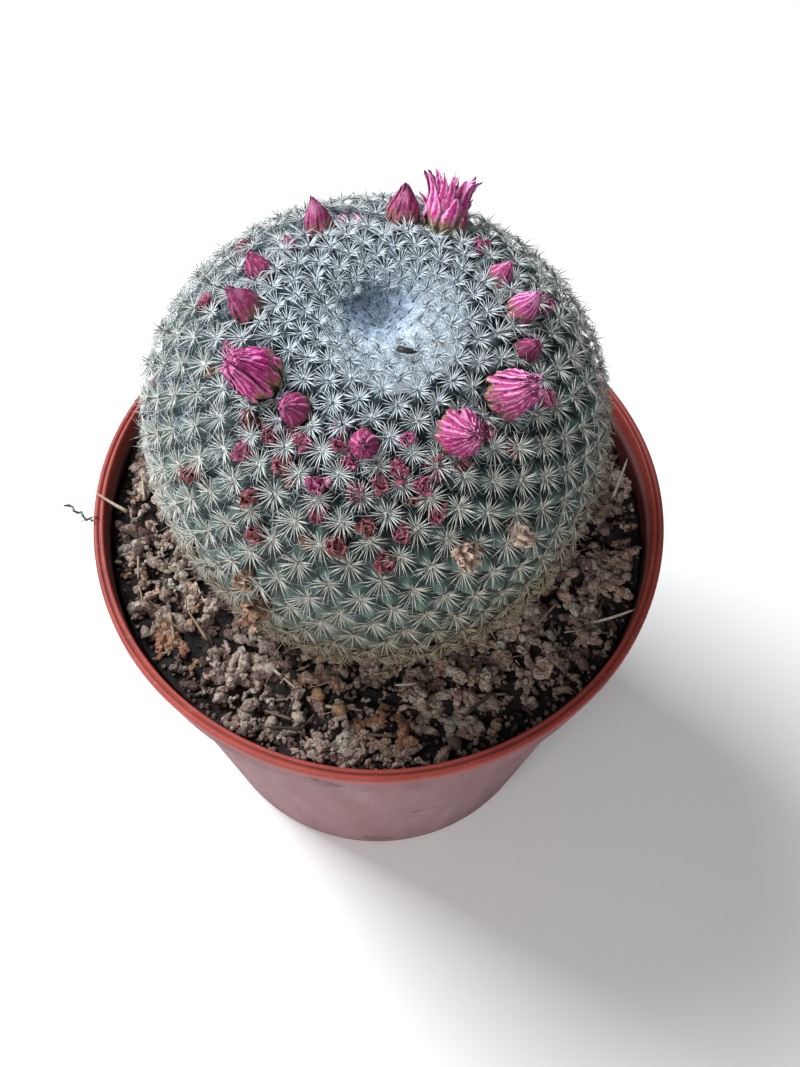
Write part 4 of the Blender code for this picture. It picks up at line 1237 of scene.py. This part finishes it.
def heart(length, radius, opened, crumple):
    """The closed body inside the petals: ovary and tube below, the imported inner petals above."""
    rows, sides = 12, 20
    points, along = [Vector((0, 0, 0))], [0.0]
    for r in range(rows):
        share = (r + 0.5) / rows
        parted = np.interp(min(share, 0.6), *OPEN_FORM) * opened * (1 - share**3)
        body = np.interp(share, *SHUT_FORM) * (1 - opened) + parted
        for i in range(sides):
            angle = TURN * i / sides
            fold = noise.noise(Vector((math.cos(angle) * 2, math.sin(angle) * 2, share * 3 + crumple * 5)))
            width = radius * body * (0.86 + (0.08 + 0.2 * crumple) * fold)
            height = length * share * (0.93 - 0.2 * opened)
            points.append(Vector((width * math.cos(angle), width * math.sin(angle), height)))
            along.append(share)
    points.append(Vector((0, 0, length * (0.95 - 0.2 * opened))))
    along.append(1.0)
    last = 1 + (rows - 1) * sides
    faces = [(0, 1 + (i + 1) % sides, 1 + i) for i in range(sides)] + quads(rows, sides, 1, over=True)
    faces += [(last + i, last + (i + 1) % sides, last + sides) for i in range(sides)]
    return points, faces, [0.8] * len(points), along


def petal_satin():
    made, look = material("magenta_petals", 0.6, 0.3)
    across, along = look.mask("across"), look.mask("along")
    paleness_and_painted_light, withered_and_painted_shade = look.mask("paleness_and_painted_light"), look.mask("withered_and_painted_shade")
    veins = look.grains(1500, 4, 0.62)
    edge = look.plus(across, look.off(veins, 0.5, 0.9))
    edge = look.plus(edge, look.off(along, 0.6, 0.25))
    edge = look.plus(edge, look.off(paleness_and_painted_light, 0.5, 0.45))
    margin = look.ramp(paleness_and_painted_light, (0.0, 0.45), (0.8, 1.0))
    margin = look.times(look.ramp(edge, (0.42, 0.0), (0.82, 1.0)), margin)
    magenta = ((0.0, (0.30, 0.024, 0.10)), (0.45, (0.50, 0.024, 0.22)), (1.0, (0.40, 0.018, 0.175)))
    # A low paleness also paints the whole petal darker and a high one lighter: painted shade and painted
    # light on some blooms, besides their pale margins.
    middle = look.tint(look.ramp(along, *magenta), look.ramp(paleness_and_painted_light, (0.2, 0.38), (0.6, 0.95)))
    colour = look.mix(margin, middle, (0.80, 0.32, 0.58))
    colour = look.mix(look.ramp(veins, (0.34, 0.45), (0.50, 0.0)), colour, (0.21, 0.010, 0.080))
    tube = look.ramp(veins, (0.3, (0.17, 0.15, 0.07)), (0.7, (0.40, 0.27, 0.13)))
    colour = look.mix(look.ramp(along, (0.24, 1.0), (0.56, 0.0)), colour, tube)
    stripes = look.maths("SINE", look.times(look.plus(across, look.times(veins, 0.6)), 9.0))
    lines = look.ramp(look.plus(look.times(stripes, 0.5), 0.5), (0.15, 0.70), (0.75, 1.22))
    # Withered petals turn dull and dark; on some blooms this dark is painted shade.
    dull = look.ramp(look.grains(800, 4), (0.3, (0.12, 0.014, 0.036)), (0.7, (0.30, 0.065, 0.115)))
    colour = look.mix(look.times(withered_and_painted_shade, 0.75), colour, dull)
    look.shade(look.tint(colour, lines), veins, 0.22 * MM, 0.9)
    return made


def thicken(piece, thickness):
    """Gives thin petals their thickness, on their inner side."""
    blade = piece.modifiers.new("blade", "SOLIDIFY")
    blade.thickness = thickness
    blade.offset = -1


def build_bloom(number, finish):
    _, _, _, opened, _, count, paleness_and_painted_light, withered_and_painted_shade = BLOOMS[number - 1]
    foot, axis, length, radius = seats[number - 1]
    draw = random.Random(100 + number)
    body = radius / 1.10
    parts = [heart(length, body, opened, withered_and_painted_shade)]
    # Pale sepals at the foot, a full whorl, and a smaller one inside that closes over the middle.
    wide_open = opened > 0.8
    sepals = max(5, count // 2), 0.80 if wide_open else 0.62, 1.0, opened * (1.0 if wide_open else 0.2)
    whorls = sepals, (count, 0.92, 0.96, opened), (count // 2, 1.0, 0.66, opened)
    for whorl, (many, lean_in, tall, parted) in enumerate(whorls):
        for k in range(many):
            turn = TURN * (k + 0.5 * whorl + draw.uniform(-0.12, 0.12)) / many
            tall_now = length * tall * draw.uniform(0.90, 1.0)
            wide = TURN * 1.45 / count * draw.uniform(0.85, 1.12)
            parts.append(petal(tall_now, body, parted, turn, lean_in, wide, draw, 0.30 * withered_and_painted_shade + 0.12))
    upright = axis.to_track_quat("Z", "Y").to_matrix()
    points, faces, across, along = [], [], [], []
    for some, sides, over, up in parts:
        faces += [tuple(i + len(points) for i in side) for side in sides]
        points += [foot + upright @ p for p in some]
        across += over
        along += up
    every = np.ones(len(points))
    masks = {"across": across, "along": along, "paleness_and_painted_light": paleness_and_painted_light * every, "withered_and_painted_shade": withered_and_painted_shade * every}
    bloom = new_mesh(f"petals_{number:02d}", points, faces, **masks)
    bloom.data.materials.append(finish)
    thicken(bloom, 0.10 * MM)
    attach(bloom, "root")
    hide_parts(f"bloom_{number:02d}")


satin = petal_satin()
for number in range(1, len(BLOOMS) + 1):
    build_bloom(number, satin)


# ---------------------------------------------------------------------------
# The spent blooms. Shrivelled and crumpled, they stay stuck in the axils: dark crimson just below
# the ring, then red-brown, and the oldest a papery brown or beige.

# Smaller ones that the solids leave out: azimuth, arc, size, and age from pink to papery brown.
SMALL_SPENT = (
    (222, 28.8, 3.4, 0.45),
    (228, 33.5, 3.0, 0.55),
    (265, 32.4, 3.8, 0.30),
    (291, 28.8, 3.6, 0.35),
    (253, 42.8, 3.0, 0.60),
    (255, 22.4, 2.6, 0.05),
    (261, 27.8, 3.2, 0.10),
    (312, 27.6, 3.8, 0.20),
    (238, 26.0, 2.8, 0.35),
    (244, 33.0, 3.2, 0.55),
    (282, 33.8, 3.0, 0.50),
    (300, 30.5, 3.2, 0.40),
    (216, 42.1, 3.0, 0.85),
    (318, 33.0, 3.0, 0.45),
    (196, 31.0, 3.0, 0.75),
)
DRY_PETALS = 13
# The meridian's first samples lie in the dip, where a height comes twice.
BEYOND_DIP = slice(400, None)
# noise_vector takes its offsets from the clock unless a seed is set.
CRUMPLE_SEED = 1795415274


def crumpled(draw, radius, length, axis, foot):
    """A dry bloom: shrunken petals in a rosette round a knot, each folded, bent and curled its own way."""
    ball, sides = crumb_shape(draw, 1)
    turn = axis.to_track_quat("Z", "Y").to_matrix()
    knot = [Vector((p[0] * radius * 0.6, p[1] * radius * 0.6, (p[2] * 0.4 + 0.4) * length)) for p in ball]
    points = [foot + turn @ spot for spot in knot]
    faces, pale = sides.tolist(), [0.1] * len(points)
    rows, columns = 6, 4
    for k in range(DRY_PETALS):
        phi = SPREAD_TURN * k + draw.uniform(-0.3, 0.3)
        lean = draw.uniform(0.25, 1.05) * (0.55 + 0.45 * (k % 3) / 2)
        wide = radius * draw.uniform(0.40, 0.66)
        tall = length * draw.uniform(0.75, 1.12)
        shift = Vector((draw.uniform(0, 90), draw.uniform(0, 90), 0))
        curl = draw.uniform(-0.5, 0.7)
        faces += quads(rows, columns, len(points), closed=False, over=True)
        for r in range(rows):
            share = r / (rows - 1)
            out = radius * (0.22 + lean * share**1.3)
            up = tall * share * (1.05 - 0.40 * lean * share)
            for c in range(columns):
                side = 2 * c / (columns - 1) - 1
                curled = out - curl * wide * side * side * share
                spot = Vector((curled, wide * side * (1 - 0.55 * share**2), up))
                spot += 0.50 * radius * share**0.5 * noise.noise_vector(spot / radius * 1.9 + shift)
                points.append(foot + turn @ (Matrix.Rotation(phi, 3, "Z") @ spot))
                pale.append(min(1.0, 0.55 * abs(side) + 0.55 * share**2))
    return points, faces, pale


def dry_petals():
    made, look = material("dry_spent_petals", 0.7)
    folds = look.grains(1500, 5, 0.65)
    age = look.plus(look.mask("age"), look.off(folds, 0.5, 0.30))
    red = ((0.05, (0.34, 0.046, 0.150)), (0.25, (0.25, 0.034, 0.084)), (0.45, (0.180, 0.034, 0.042)))
    brown = ((0.62, (0.190, 0.070, 0.045)), (0.80, (0.310, 0.160, 0.095)), (0.93, (0.620, 0.440, 0.350)))
    young_edge = ((0.1, (0.52, 0.16, 0.31)), (0.45, (0.38, 0.17, 0.16)))
    old_edge = ((0.8, (0.52, 0.38, 0.27)), (0.93, (0.72, 0.56, 0.45)))
    margin = look.times(look.mask("pale"), look.ramp(folds, (0.38, 0.1), (0.60, 0.75)))
    colour = look.mix(margin, look.ramp(age, *red, *brown), look.ramp(age, *young_edge, *old_edge))
    look.shade(look.tint(colour, look.ramp(folds, (0.32, 0.35), (0.62, 1.25))), folds, 0.3 * MM, 0.9)
    return made


def add_spent(number, finish, draw, foot, outwards, size, age):
    points, faces, pale = crumpled(draw, size * 0.50, size * 1.02, outwards, foot)
    spent = new_mesh(f"dry_bloom_{number:02d}", points, faces, age=[age] * len(points), pale=pale)
    spent.data.materials.append(finish)
    thicken(spent, 0.12 * MM)
    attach(spent, "root")
    return spent


def build_spent(finish):
    draw = random.Random(77)
    boxes = [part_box(name) for name in sorted(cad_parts) if name.startswith("spent_bloom")]
    for number, (low, high) in enumerate(boxes, 1):
        middle = (low + high) / 2
        outwards = (middle - Vector((0, 0, STEM_MIDDLE - 8 * MM))).normalized()
        size = (high - low).length / math.sqrt(3)
        reach = float(np.interp(-middle.z, -HEIGHT[BEYOND_DIP], REACH[BEYOND_DIP]))
        fuller = FULLER * float(shoulder_at(math.atan2(middle.y, middle.x), reach))
        foot = middle - outwards * (size * 0.52 - 0.8 * fuller)
        fallen = (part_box("stem")[1].z - middle.z) / (55 * MM)
        age = min(0.78, max(0.0, fallen * 1.4 + draw.uniform(-0.20, 0.16)))
        # Those low down on the right have faded to beige.
        faded = middle.x > 10 * MM and fallen > 0.33
        size *= 1 + 0.25 * (fallen > 0.7 or faded)
        spent = add_spent(number, finish, draw, foot, outwards, size, 1.0 if faded else age)
        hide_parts(f"spent_bloom_{number:02d}")
    for number, (azimuth, arc, size, age) in enumerate(SMALL_SPENT, len(boxes) + 1):
        spot = np.array(math.radians(azimuth)), arc * MM
        foot = Vector(stem_points(*spot, -0.75 * depth_at(arc * MM)))
        add_spent(number, finish, draw, foot, Vector(stem_normals(*spot)), size * MM, age)


noise.seed_set(CRUMPLE_SEED)
build_spent(dry_petals())
